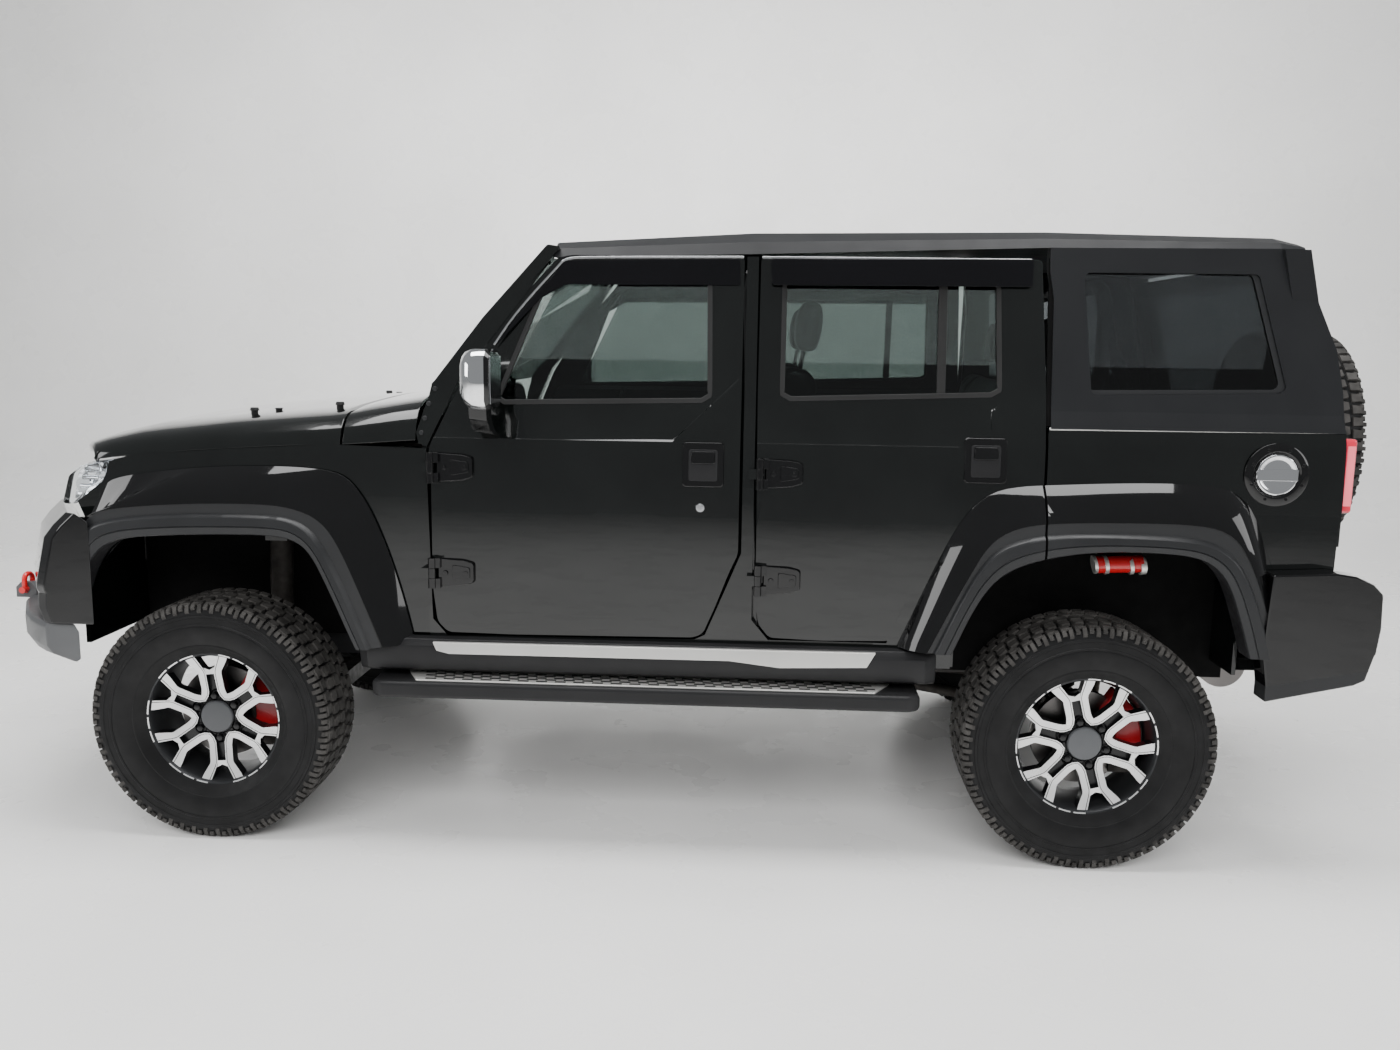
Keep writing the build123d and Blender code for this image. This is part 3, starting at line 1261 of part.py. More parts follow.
def make_roll_bars():
    """The hoop behind the rear seats, its two stays down to the tail and their feet."""
    x, y, bar = hoop_x, hoop_half_width, roll_bar_radius
    hoop = bent_tube([(x, -y, seat_base), (x, -y, hoop_top), (x, y, hoop_top), (x, y, seat_base)], bar,
                     hoop_bend)
    foot_x = body_rear + post_depth + stay_foot
    stay = rod((x, y, hoop_top - stay_drop), (foot_x, y, seat_base + stay_foot / 2), bar)
    foot = box(foot_x - stay_foot / 2, foot_x + stay_foot / 2, y - bar, y + bar, seat_base,
               seat_base + stay_foot)
    stay = stay - hoop - foot
    return [hoop, stay, mirrored(stay), foot, mirrored(foot)]


# Engine and what hangs under the floor
engine_front = 1640.0
engine_rear = 900.0
engine_half = 300.0
engine_top = shoulder_height + belt_rise * 0.06
gearbox_rear = -150.0
gearbox_half = 180.0
gearbox_low = 400.0
propshaft_radius = 34.0
tank_front = -350.0
tank_rear = -1120.0
tank_low = 390.0
pipe_radius = 26.0
pipe_y = 255.0
pipe_z = 448.0
muffler_radius = 82.0
muffler_x = -1985.0
muffler_z = 494.0
muffler_half = 320.0
pipe_bend_reach = 300.0
pipe_bend_x = axle_rear - pipe_bend_reach
pipe_bend_radius = 120.0


def make_engine():
    """Engine and gearbox as one closed mass."""
    engine = box(engine_rear, engine_front, -engine_half, engine_half, frame_top + overrun, engine_top)
    foot_x = (engine_rear + engine_front) / 2
    feet = box(foot_x, foot_x + cross_width, -rail_outer + rail_width + seat_gap,
               rail_outer - rail_width - seat_gap,
               frame_top - overrun, frame_top + 2 * overrun)
    sump = box(engine_rear, engine_front - 5 * overrun, -engine_half / 2, engine_half / 2, frame_low,
               engine_top)
    gearbox = box(gearbox_rear, engine_rear + overrun, -gearbox_half, gearbox_half, gearbox_low,
                  frame_top - seat_gap)
    return engine + sump + feet + gearbox


# Small outside parts
lamp_tail_inner = body_half_width * 0.83
lamp_tail_outer = body_half_width * 0.963
lamp_tail_low = 1105.0
lamp_tail_high = 1330.0
lamp_tail_depth = 46.0
filler_x = -1879.0
filler_z = 1222.0
filler_radius = 92.0
filler_depth = 14.0
hinge_stand_off = 22.0
hinge_y = body_half_width + hinge_stand_off
hinge_radius = 11.0
front_hinge_axis = 656.0
rear_hinge_axis = -352.0
hinge_leaf = 130.0
hinge_height = 94.0
hinge_thickness = 14.0
hinge_high_z = 1196.0
hinge_low_z = 868.0
tail_hinge_heights = (1010.0, 1290.0)
handle_width = 128.0
handle_height = 138.0
handle_depth = 14.0
handle_frame_share = 0.14
handle_grip_share = 0.56
front_handle = (-115.0, 1150.0)
rear_handle = (-963.0, 1175.0)
mirror_width = 212.0
mirror_height = 185.0
mirror_arm_drop = 82.0
mirror_front = 524.0
mirror_rear = 427.0
mirror_inner = body_half_width * 1.0115
mirror_outer = mirror_inner + mirror_width
mirror_low = belt_height * 0.9836
mirror_high = mirror_low + mirror_height
mirror_rim = 6.0
mirror_corner_share = 0.14
mirror_shell = [
    (0.0, mirror_rim), (0.15, 0.0), (0.62, mirror_rim / 2), (0.90, 3 * mirror_rim), (1.0, 6 * mirror_rim),
]


def hinge_door_half(axis_x, z):
    """The leaf on the door with the outer two knuckles of a hinge."""
    y_low = body_half_width
    leaf = box(axis_x - hinge_leaf, axis_x - hinge_radius / 2, y_low, y_low + hinge_thickness,
               z - hinge_height / 2, z + hinge_height / 2)
    third = hinge_height / 3
    knuckle = rod((axis_x, hinge_y, z - hinge_height / 2), (axis_x, hinge_y, z + hinge_height / 2),
                  hinge_radius)
    bridge = box(axis_x - hinge_radius * 2, axis_x, y_low, hinge_y + hinge_radius / 2, z - hinge_height / 2,
                 z + hinge_height / 2)
    gap = box(axis_x - hinge_radius * 1.3, axis_x + hinge_radius * 2, y_low, hinge_y + overrun,
              z - third / 2 - seat_gap, z + third / 2 + seat_gap)
    return leaf + knuckle + bridge - gap


def hinge_body_half(axis_x, z):
    """The middle knuckle with its tab on the body."""
    third = hinge_height / 3
    knuckle = rod((axis_x, hinge_y, z - third / 2), (axis_x, hinge_y, z + third / 2), hinge_radius)
    tab = box(axis_x, axis_x + hinge_radius * 3, hinge_y - hinge_radius, hinge_y + hinge_radius / 2,
              z - third / 2, z + third / 2)
    foot = box(axis_x + hinge_radius * 1.8, axis_x + hinge_radius * 3, body_half_width - hinge_radius / 2,
               hinge_y, z - third / 2, z + third / 2)
    return knuckle + tab + foot


def tail_hinge_door(z):
    """The tailgate's leaf with the outer knuckles of its hinge."""
    low, high = z - hinge_height / 2, z + hinge_height / 2
    face = body_rear + shut_gap
    leaf = box(face - hinge_thickness, face, tail_axis_y, tail_axis_y + hinge_leaf, low, high)
    knuckle = rod((tail_axis_x, tail_axis_y, low), (tail_axis_x, tail_axis_y, high), hinge_radius)
    third = hinge_height / 6 + seat_gap
    gap = box(tail_axis_x - overrun, face, tail_axis_y - overrun, tail_axis_y + hinge_radius * 1.3,
              z - third, z + third)
    return leaf + knuckle - gap


def tail_hinge_body(z):
    """The fixed middle knuckle of the tailgate's hinge, on the corner post."""
    third = hinge_height / 6
    knuckle = rod((tail_axis_x, tail_axis_y, z - third), (tail_axis_x, tail_axis_y, z + third), hinge_radius)
    tab = box(tail_axis_x - hinge_radius / 2, body_rear, tail_axis_y - 2.4 * hinge_radius, tail_axis_y,
              z - third, z + third)
    return knuckle + tab


def make_handle(x_front, z_low):
    """A square handle plate with its grip."""
    y = body_half_width
    frame = handle_width * handle_frame_share
    plate = box(x_front - handle_width, x_front, y - handle_depth, y + handle_depth / 4, z_low,
                z_low + handle_height)
    plate -= box(x_front - handle_width + frame, x_front - frame, y - handle_depth / 2, y + handle_depth,
                 z_low + frame, z_low + handle_height - frame)
    grip_low = z_low + handle_height * handle_grip_share
    grip = box(x_front - handle_width + frame / 2, x_front - frame / 2, y, y + handle_depth, grip_low,
               z_low + handle_height - frame / 2)
    return plate + grip


def corners(low, high, inset):
    """An eight-cornered (y, z) outline between two opposite corners, set in by inset."""
    (y_low, z_low), (y_high, z_high) = low, high
    y_low, z_low, y_high, z_high = y_low + inset, z_low + inset, y_high - inset, z_high - inset
    cut = (z_high - z_low) * mirror_corner_share
    return [(y_low + cut, z_low), (y_high - cut, z_low), (y_high, z_low + cut), (y_high, z_high - cut),
            (y_high - cut, z_high), (y_low + cut, z_high), (y_low, z_high - cut), (y_low, z_low + cut)]


def make_mirror():
    """The door mirror: head on a short arm."""
    low, high = (mirror_inner + 2 * overrun, mirror_low), (mirror_outer, mirror_high)
    head = cross_loft([(mirror_rear + along * (mirror_front - overrun - mirror_rear),
                        corners(low, high, inset))
                       for along, inset in mirror_shell])
    glass = [(mirror_rear - overrun, corners(low, high, 2 * mirror_rim)),
             (mirror_rear + mirror_rim, corners(low, high, 2 * mirror_rim))]
    head -= cross_loft(glass)
    arm = box(mirror_rear + overrun, mirror_front - overrun, lean_belt_half_width - overrun,
              mirror_inner + 4 * overrun, mirror_low - mirror_arm_drop, mirror_low + overrun)
    return head + arm


def save_doors():
    """Both doors of each side, with their glass."""
    for name, outline, window, axis, handle in (
        ("front", front_door_outline, front_window, front_hinge_axis, front_handle),
        ("rear", rear_door_outline, rear_window, rear_hinge_axis, rear_handle),
    ):
        door = door_shell(outline, window) + make_handle(*handle)
        for z in (hinge_low_z, hinge_high_z):
            door = door + hinge_door_half(axis, z)
        glass = pane(window, min(x for x, z in window), max(x for x, z in window), glass_rebate)
        save(f"door_{name}_left", door)
        save(f"door_{name}_right", mirrored(door))
        save(f"glass_{name}_left", glass)
        save(f"glass_{name}_right", mirrored(glass))


def save_flares():
    """The arch flares. The rear one is split along the door gap, and its front part rides on the door."""
    flare = make_flare(axle_front, front_opening_shares, front_trim_shares, front_gloss_shares,
                       front_flare_shares,
                       flare_foot_front)
    save("flares_front", both(flare))
    flare = make_flare(axle_rear, rear_opening_shares, rear_trim_shares, rear_gloss_shares, rear_flare_shares,
                       flare_foot_rear)
    front_part = flare & box(rear_latch_x + shut_gap / 2, 0, 0, track, 0, roof_height)
    rear_part = flare & box(body_rear, rear_latch_x - shut_gap / 2, 0, track, 0, roof_height)
    save("flares_rear", both(rear_part))
    save("flare_door_left", front_part)
    save("flare_door_right", mirrored(front_part))


def save_wheels():
    """Four road wheels and the spare."""
    tyre, rim = make_tyre(), make_rim()
    road_rim = rim + make_disc()
    for name, x, side in (("front_left", axle_front, 1), ("front_right", axle_front, -1),
                          ("rear_left", axle_rear, 1), ("rear_right", axle_rear, -1)):
        save(f"tyre_{name}", wheel_place(x, side) * tyre)
        save(f"rim_{name}", wheel_place(x, side) * road_rim)
    spare = Pos(spare_x, 0, spare_height) * Rot(0, -90, 0)
    save("spare_tyre", spare * tyre)
    save("spare_rim", spare * rim)


def save_body():
    """Body, roof, glass, wings, bonnet and tailgate."""
    side = make_body_side()
    for z in (hinge_low_z, hinge_high_z):
        side[0] = side[0] + hinge_body_half(rear_hinge_axis, z)
    save("body_shell", make_floor())
    save("body_side_left", side)
    right = [mirrored(part) for part in side]
    for z in tail_hinge_heights:
        right[1] = right[1] + tail_hinge_body(z)
    save("body_side_right", right)
    roof, quarter_window = make_roof()
    save("roof_hardtop", roof)
    save("quarter_windows", both(pane(quarter_window, body_rear, rear_latch_x, glass_rebate)))
    save("cowl_panel", make_cowl())
    save("bonnet", make_bonnet())
    wing = make_wing()
    save("front_wings", wing + [mirrored(part) for part in wing])
    save("windscreen", make_screen())
    tailgate = make_tailgate()
    for z in tail_hinge_heights:
        tailgate = tailgate + tail_hinge_door(z)
    save("tailgate", tailgate)
    save("tailgate_glass", make_tailgate_glass())


def save_trim():
    """Nose, bumpers, steps, covers, lamps, filler and mirrors."""
    save("grille", list(make_grille()))
    save("headlamps", both(make_lamps()))
    save("front_bumper", make_front_bumper())
    save("steel_bar", make_steel_bar())
    save("tow_shackles", both(make_shackle()))
    save("rear_bumper", make_rear_bumper())
    step = box(step_rear, step_front, step_inner, step_outer, step_low, step_top)
    tread = box(step_rear + overrun * 3, step_front - overrun * 4, step_outer - tread_width,
                step_outer - overrun,
                step_top, step_top + tread_height)
    save("side_steps", both(step + tread))
    cover = box(cover_rear, cover_front, body_half_width, cover_outer, cover_low, cover_top)
    save("sill_covers", both(cover - flare_space(axle_front, front_flare_shares)))
    lamp = box(body_rear - lamp_tail_depth, body_rear, lamp_tail_inner, lamp_tail_outer, lamp_tail_low,
               lamp_tail_high)
    save("tail_lamps", both(lamp))
    filler = Cylinder(filler_radius, filler_depth, align=(Align.CENTER, Align.CENTER, Align.MIN))
    save("fuel_filler", Pos(filler_x, body_half_width, filler_z) * Rot(-90, 0, 0) * filler)
    mirror_left = make_mirror() - door_shell(front_door_outline, front_window)
    save("mirror_left", mirror_left)
    save("mirror_right", mirrored(mirror_left))


def save_running_gear():
    """Frame, suspension, axle, engine and what hangs under the floor."""
    save("chassis_frame", make_frame())
    save("knuckle_left", make_knuckle(1))
    save("knuckle_right", make_knuckle(-1))
    save("front_suspension", make_front_suspension())
    save("rear_axle", make_rear_axle())
    save("rear_springs", make_rear_springs())
    save("engine_block", make_engine())
    shaft = rod((gearbox_rear - 2 * seat_gap, 0, hub_height + 2 * overrun),
                (axle_rear + diff_radius + pinion_length + 5 * seat_gap, 0, hub_height), propshaft_radius)
    save("propshaft", shaft)
    tank = box(tank_rear, tank_front, -pipe_y - 3 * overrun, -propshaft_radius - overrun, tank_low,
               frame_top - seat_gap)
    save("fuel_tank", tank)
    pipe = bent_tube([(engine_rear, pipe_y, pipe_z), (pipe_bend_x, pipe_y, pipe_z),
                      (muffler_x, pipe_y, muffler_z)],
                     pipe_radius, pipe_bend_radius)
    muffler = rod((muffler_x, -muffler_half, muffler_z), (muffler_x, muffler_half, muffler_z), muffler_radius)
    save("exhaust", [pipe - muffler, muffler])


def save_cabin():
    """Dashboard, seats and roll bars."""
    save("dashboard", make_dash())
    seat = make_seat(seat_front, seat_back, seat_y - seat_width / 2, seat_y + seat_width / 2, seat_top,
                     seat_back_top)
    save("seats_front", both(seat))
    save("seats_rear", make_seat(rear_seat_front, rear_seat_back, -rear_seat_half, rear_seat_half, seat_top,
                                 seat_back_top))
    save("roll_bars", make_roll_bars())


def main():
    """Make every piece and write it."""
    save_wheels()
    save_body()
    save_trim()
    save_flares()
    save_doors()
    save_running_gear()
    save_cabin()


if __name__ == "__main__":
    main()
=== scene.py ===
"""Looks of a lifted four-door off-road car: finishes, panels, wheels, cabin, floor, light and camera."""
from __future__ import annotations

import json
import logging
import math
from dataclasses import dataclass
from enum import Enum
from typing import Callable, Sequence

import bmesh
import bpy
from mathutils import Matrix, Vector

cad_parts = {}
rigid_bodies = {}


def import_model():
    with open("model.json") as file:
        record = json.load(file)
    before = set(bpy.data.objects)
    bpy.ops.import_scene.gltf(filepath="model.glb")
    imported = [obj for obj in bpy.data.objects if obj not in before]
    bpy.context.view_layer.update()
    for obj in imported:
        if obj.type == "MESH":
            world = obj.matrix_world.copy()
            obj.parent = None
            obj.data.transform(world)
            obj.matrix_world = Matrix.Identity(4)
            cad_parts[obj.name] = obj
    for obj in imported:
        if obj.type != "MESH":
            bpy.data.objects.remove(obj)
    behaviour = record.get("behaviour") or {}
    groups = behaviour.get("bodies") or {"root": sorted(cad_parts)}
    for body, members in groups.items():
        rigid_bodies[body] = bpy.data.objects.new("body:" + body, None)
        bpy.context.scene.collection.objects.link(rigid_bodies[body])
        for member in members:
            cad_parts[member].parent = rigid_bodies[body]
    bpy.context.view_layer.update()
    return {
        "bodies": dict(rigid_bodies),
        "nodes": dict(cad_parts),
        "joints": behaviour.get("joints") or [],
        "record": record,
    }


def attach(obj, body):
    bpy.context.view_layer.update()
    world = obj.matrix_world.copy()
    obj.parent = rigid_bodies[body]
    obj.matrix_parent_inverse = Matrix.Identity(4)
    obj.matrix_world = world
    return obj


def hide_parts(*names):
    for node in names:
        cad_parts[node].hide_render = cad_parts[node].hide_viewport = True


log = logging.getLogger("car")
Point = tuple[float, float]
Run = tuple[Point, ...]
Place = tuple[float, float, float]
Mesh = bmesh.types.BMesh
Node = bpy.types.Node
MM = 0.001
SHIFT = Vector((75, 0, 12))


class Side(Enum):
    """A side of the car, as the sign of Y."""

    LEFT = 1
    RIGHT = -1

    @property
    def word(self) -> str:
        """The side as it stands in names."""
        return self.name.lower()


class Grain(Enum):
    """The fine relief of a finish."""

    FINE = "fine"
    CELLS = "cells"
    BRUSHED = "brushed"


@dataclass(frozen=True)
class Finish:
    """A surface finish, made as a node material on object coordinates.

    Attributes:
        name: Name of the material.
        color: Base colour, linear.
        roughness: Middle roughness.
        metallic: 1 for bare metal.
        coat: Weight of a clear lacquer.
        transmission: 1 for glass.
        ior: Index of refraction.
        tone: Share by which the colour drifts.
        tone_scale: Drifts of colour in a metre.
        drift: How far roughness drifts.
        grain: Kind of fine relief.
        grain_scale: Grains in a metre.
        grain_height: Relief in millimetres.
        glow: Strength of its own light.
    """

    name: str
    color: tuple[float, float, float]
    roughness: float
    metallic: float = 0
    coat: float = 0
    transmission: float = 0
    ior: float = 1.5
    tone: float = 0.15
    tone_scale: float = 4
    drift: float = 0.05
    grain: Grain = Grain.FINE
    grain_scale: float = 900
    grain_height: float = 0.05
    glow: float = 0

    def material(self) -> bpy.types.Material:
        """Make the material once, and give it again after that."""
        made = bpy.data.materials.get(self.name)
        if made is not None:
            return made
        made = bpy.data.materials.new(self.name)
        made.use_nodes = True
        nodes = made.node_tree.nodes
        shader = nodes["Principled BSDF"]
        shader.inputs["Metallic"].default_value = self.metallic
        shader.inputs["Coat Weight"].default_value = self.coat
        shader.inputs["Coat Roughness"].default_value = 0.03
        shader.inputs["Transmission Weight"].default_value = self.transmission
        shader.inputs["IOR"].default_value = self.ior
        coords = nodes.new("ShaderNodeTexCoord")
        mapping = nodes.new("ShaderNodeMapping")
        if self.grain is Grain.BRUSHED:
            mapping.inputs["Scale"].default_value = (0.02, 1, 1)
        link = made.node_tree.links.new
        link(coords.outputs["Object"], mapping.inputs["Vector"])
        self._color(nodes, link, coords, shader)
        self._roughness(nodes, link, mapping, shader)
        self._relief(nodes, link, mapping, shader)
        return made

    def _noise(self, nodes: bpy.types.Nodes, link: Callable, source: bpy.types.NodeSocket,
               scale: float, detail: float) -> bpy.types.NodeSocket:
        """A noise field.

        Args:
            nodes: The material's nodes.
            link: The material's link maker.
            source: Socket with the coordinates.
            scale: Cells in a metre.
            detail: Octaves.

        Returns:
            The socket with the field.
        """
        noise = nodes.new("ShaderNodeTexNoise")
        noise.inputs["Scale"].default_value = scale
        noise.inputs["Detail"].default_value = detail
        link(source, noise.inputs["Vector"])
        return noise.outputs["Fac"]

    def _color(self, nodes: bpy.types.Nodes, link: Callable, coords: Node, shader: Node) -> None:
        """Let the colour drift between a darker and a lighter tone."""
        field_socket = self._noise(nodes, link, coords.outputs["Object"], self.tone_scale, 5)
        ramp = nodes.new("ShaderNodeValToRGB")
        low, high = 1 - self.tone, 1 + self.tone
        ramp.color_ramp.elements[0].position = 0.35
        ramp.color_ramp.elements[1].position = 0.65
        ramp.color_ramp.elements[0].color = (*(c * low for c in self.color), 1)
        ramp.color_ramp.elements[1].color = (*(min(1, c * high) for c in self.color), 1)
        link(field_socket, ramp.inputs["Fac"])
        link(ramp.outputs["Color"], shader.inputs["Base Color"])
        if self.glow > 0:
            shader.inputs["Emission Strength"].default_value = self.glow
            link(ramp.outputs["Color"], shader.inputs["Emission Color"])

    def _roughness(self, nodes: bpy.types.Nodes, link: Callable, mapping: Node, shader: Node) -> None:
        """Let the roughness drift, so that a surface isn't evenly glossy."""
        field_socket = self._noise(nodes, link, mapping.outputs["Vector"], self.tone_scale * 3, 6)
        span = nodes.new("ShaderNodeMapRange")
        span.inputs["From Min"].default_value = 0.3
        span.inputs["From Max"].default_value = 0.7
        span.inputs["To Min"].default_value = max(0, self.roughness - self.drift)
        span.inputs["To Max"].default_value = min(1, self.roughness + self.drift)
        link(field_socket, span.inputs["Value"])
        link(span.outputs["Result"], shader.inputs["Roughness"])

    def _relief(self, nodes: bpy.types.Nodes, link: Callable, mapping: Node, shader: Node) -> None:
        """Fine relief through a bump node."""
        if self.grain_height <= 0:
            return
        vector = mapping.outputs["Vector"]
        if self.grain is Grain.CELLS:
            cells = nodes.new("ShaderNodeTexVoronoi")
            cells.inputs["Scale"].default_value = self.grain_scale
            link(vector, cells.inputs["Vector"])
            height = cells.outputs["Distance"]
        else:
            height = self._noise(nodes, link, vector, self.grain_scale, 3)
        bump = nodes.new("ShaderNodeBump")
        bump.inputs["Strength"].default_value = 0.6
        bump.inputs["Distance"].default_value = self.grain_height * MM
        link(height, bump.inputs["Height"])
        link(bump.outputs["Normal"], shader.inputs["Normal"])


class Finishes:
    """The finishes of this car."""

    PAINT = Finish("gloss_black_lacquer", (0.0026, 0.0032, 0.003), 0.16, coat=1, ior=1.28, tone=0.25,
                   drift=0.03, grain_scale=260, grain_height=0.006)
    SATIN = Finish("satin_dark_grey", (0.011, 0.0115, 0.0125), 0.45, ior=1.3, tone=0.08, grain_scale=1500,
                   grain_height=0.02)
    MOULDING = Finish("gloss_black_moulding", (0.003, 0.003, 0.0032), 0.1, coat=1, ior=1.12, drift=0.03,
                      grain_scale=200, grain_height=0.006)
    GRAINED = Finish("grained_black_plastic", (0.012, 0.012, 0.0127), 0.48, ior=1.35, tone=0.12,
                     grain=Grain.CELLS, grain_scale=900, grain_height=0.12)
    TRIM = Finish("satin_black_plastic", (0.016, 0.0165, 0.0175), 0.33, ior=1.4, tone=0.1, grain=Grain.CELLS,
                  grain_scale=1400, grain_height=0.05)
    RUBBER = Finish("black_seal_rubber", (0.01, 0.01, 0.01), 0.6, grain_scale=700, grain_height=0.08)
    TYRE = Finish("tyre_side_rubber", (0.008, 0.008, 0.0083), 0.5, ior=1.3, tone=0.22, tone_scale=14,
                  drift=0.08, grain=Grain.CELLS, grain_scale=700, grain_height=0.15)
    TREAD = Finish("tyre_tread_dust", (0.04, 0.038, 0.036), 0.8, ior=1.4, tone=0.4, tone_scale=20, drift=0.08,
                   grain_scale=500, grain_height=0.3)
    SILVER = Finish("machined_aluminium", (0.8, 0.8, 0.8), 0.3, metallic=0.75, tone=0.05, drift=0.06,
                    grain_scale=1600, grain_height=0.02)
    POCKET = Finish("black_wheel_paint", (0.004, 0.004, 0.0045), 0.3, coat=0.2, ior=1.4, grain_height=0.01)
    BARREL = Finish("dark_wheel_barrel", (0.03, 0.031, 0.033), 0.35, metallic=0.6)
    CAP = Finish("dark_grey_cap", (0.075, 0.078, 0.083), 0.4, metallic=0.3, coat=0.2)
    CHROME = Finish("polished_chrome", (0.86, 0.87, 0.88), 0.05, metallic=1, tone=0.02, drift=0.02,
                    grain_height=0.004)
    BRUSHED = Finish("brushed_stainless", (0.8, 0.79, 0.76), 0.36, metallic=0.7, tone=0.06, drift=0.08,
                     grain=Grain.BRUSHED, grain_scale=2200, grain_height=0.03)
    IRON = Finish("rough_cast_iron", (0.055, 0.05, 0.046), 0.6, metallic=0.7, tone=0.35, tone_scale=16,
                  drift=0.12, grain=Grain.CELLS, grain_scale=420, grain_height=0.3)
    FRAME = Finish("chassis_black", (0.012, 0.012, 0.013), 0.5, tone=0.3, tone_scale=12, drift=0.12,
                   grain_scale=300, grain_height=0.2)
    DUSTY = Finish("dusty_primer", (0.16, 0.13, 0.1), 0.7, tone=0.3, tone_scale=18, grain_scale=300,
                   grain_height=0.2)
    STEEL_GREY = Finish("grey_powder_coat", (0.075, 0.077, 0.08), 0.42, tone=0.1, grain=Grain.CELLS,
                        grain_scale=1100, grain_height=0.06)
    RED = Finish("red_enamel", (0.62, 0.014, 0.018), 0.25, coat=0.6, tone=0.1, grain_scale=300,
                 grain_height=0.02)
    # Painted shade: the red enamel darkened for the shade that falls on the callipers behind the wheels.
    CALLIPER = Finish("red_calliper_enamel", (0.26, 0.008, 0.012), 0.35, coat=0.3, tone=0.2, grain_scale=300,
                      grain_height=0.05)
    # Painted shade: a near-black matt finish for sheets that stand in for the shade inside the wheel houses
    # and in the gap before the hardtop.
    SHADE = Finish("matt_liner_black", (0.003, 0.003, 0.003), 0.75, ior=1.25, tone=0.3, tone_scale=12,
                   grain_scale=400, grain_height=0.1)
    DISC = Finish("turned_brake_disc", (0.2, 0.19, 0.185), 0.4, metallic=1, tone=0.12, grain_scale=1500,
                  grain_height=0.05)
    CLEAR_GLASS = Finish("tinted_glass", (0.21, 0.25, 0.238), 0, transmission=1, ior=1.45, tone=0.02, drift=0,
                         grain_scale=4, grain_height=0.004)
    DARK_GLASS = Finish("privacy_glass", (0.1, 0.11, 0.115), 0, transmission=1, ior=1.45, tone=0.04, drift=0,
                        grain_scale=4, grain_height=0.02)
    SMOKE = Finish("smoked_visor", (0.002, 0.002, 0.0026), 0.06, coat=0.5, ior=1.2, tone=0.1, drift=0.02,
                   grain_height=0.004)
    LENS = Finish("clear_lamp_lens", (0.93, 0.95, 0.97), 0.02, transmission=1, ior=1.35, tone=0.02,
                  drift=0.01, grain_height=0.01)
    REFLECTOR = Finish("lamp_reflector", (0.8, 0.82, 0.84), 0.12, metallic=1, tone=0.05, grain_height=0.02)
    RED_LENS = Finish("red_lamp_lens", (0.62, 0.02, 0.05), 0.08, coat=1, tone=0.15, tone_scale=30,
                      grain=Grain.CELLS, grain_scale=260, grain_height=0.2, glow=0.15)
    PALE_RED = Finish("red_lamp_tube", (0.85, 0.16, 0.2), 0.2, coat=1, tone=0.1, glow=0.4)
    LEATHER = Finish("black_leather", (0.014, 0.0135, 0.013), 0.42, tone=0.2, tone_scale=12,
                     grain=Grain.CELLS, grain_scale=520, grain_height=0.25)
    CABIN = Finish("cabin_plastic", (0.03, 0.029, 0.028), 0.55, grain=Grain.CELLS, grain_scale=700,
                   grain_height=0.15)
    FLOOR = Finish("pale_floor", (0.9, 0.895, 0.88), 0.3, tone=0.035, tone_scale=0.9, drift=0.1,
                   grain_scale=30, grain_height=0.3)


def spot(x: float, y: float, z: float) -> Vector:
    """A point in millimetres from mid wheelbase and the loaded ground line, as metres in the car's frame."""
    return (Vector((x, y, z)) + SHIFT) * MM


def resampled(points: Sequence[Point], count: int) -> list[Point]:
    """Points evenly spaced along a run, so that runs can be bridged.

    Args:
        points: Corner points of the run.
        count: How many points to give.

    Returns:
        The evenly spaced points.
    """
    lengths = [0]
    for a, b in zip(points, points[1:]):
        lengths.append(lengths[-1] + math.dist(a, b))
    out = []
    for index in range(count):
        at = lengths[-1] * index / (count - 1)
        k = min(max(i for i, length in enumerate(lengths) if length <= at + 1e-9), len(points) - 2)
        share = (at - lengths[k]) / (lengths[k + 1] - lengths[k])
        out.append(tuple(p + (q - p) * share for p, q in zip(points[k], points[k + 1])))
    return out


def smoothed(points: Sequence[Point], rounds: int = 2) -> list[Point]:
    """Cut the corners of an open run, keeping its ends."""
    run = list(points)
    for _ in range(rounds):
        cut = [run[0]]
        for a, b in zip(run, run[1:]):
            cut.append(tuple(p * 0.75 + q * 0.25 for p, q in zip(a, b)))
            cut.append(tuple(p * 0.25 + q * 0.75 for p, q in zip(a, b)))
        cut.append(run[-1])
        run = cut
    return run


def level(table: Sequence[Point], at: float) -> float:
    """A value read from a table of (place, value), in a straight line between its rows."""
    if at <= table[0][0]:
        return table[0][1]
    for (a, low), (b, high) in zip(table, table[1:]):
        if at <= b:
            share = (at - a) / (b - a)
            return low + (high - low) * share
    return table[-1][1]


def outward(bm: Mesh) -> None:
    """Merge doubles and turn the faces outwards."""
    bmesh.ops.remove_doubles(bm, verts=bm.verts[:], dist=1e-6)
    bmesh.ops.recalc_face_normals(bm, faces=bm.faces[:])


def cut(bm: Mesh, place: Vector, normal: Sequence[float], **options: float) -> None:
    """Divide a whole mesh by a plane."""
    bmesh.ops.bisect_plane(bm, geom=bm.verts[:] + bm.edges[:] + bm.faces[:], plane_co=place, plane_no=normal,
                           **options)


def extruded(bm: Mesh, face: bmesh.types.BMFace, along: Sequence[float]) -> list[bmesh.types.BMVert]:
    """Extrude a face along a vector in metres, and give the new vertices."""
    made = bmesh.ops.extrude_face_region(bm, geom=[face], use_keep_orig=True)
    verts = [g for g in made["geom"] if isinstance(g, bmesh.types.BMVert)]
    bmesh.ops.translate(bm, vec=along, verts=verts)
    return verts


def mirrored(bm: Mesh) -> Mesh:
    """A copy of a mesh on the car's other side, with its faces still pointing out."""
    twin = bm.copy()
    bmesh.ops.scale(twin, vec=(1, -1, 1), verts=twin.verts[:])
    bmesh.ops.reverse_faces(twin, faces=twin.faces[:])
    return twin


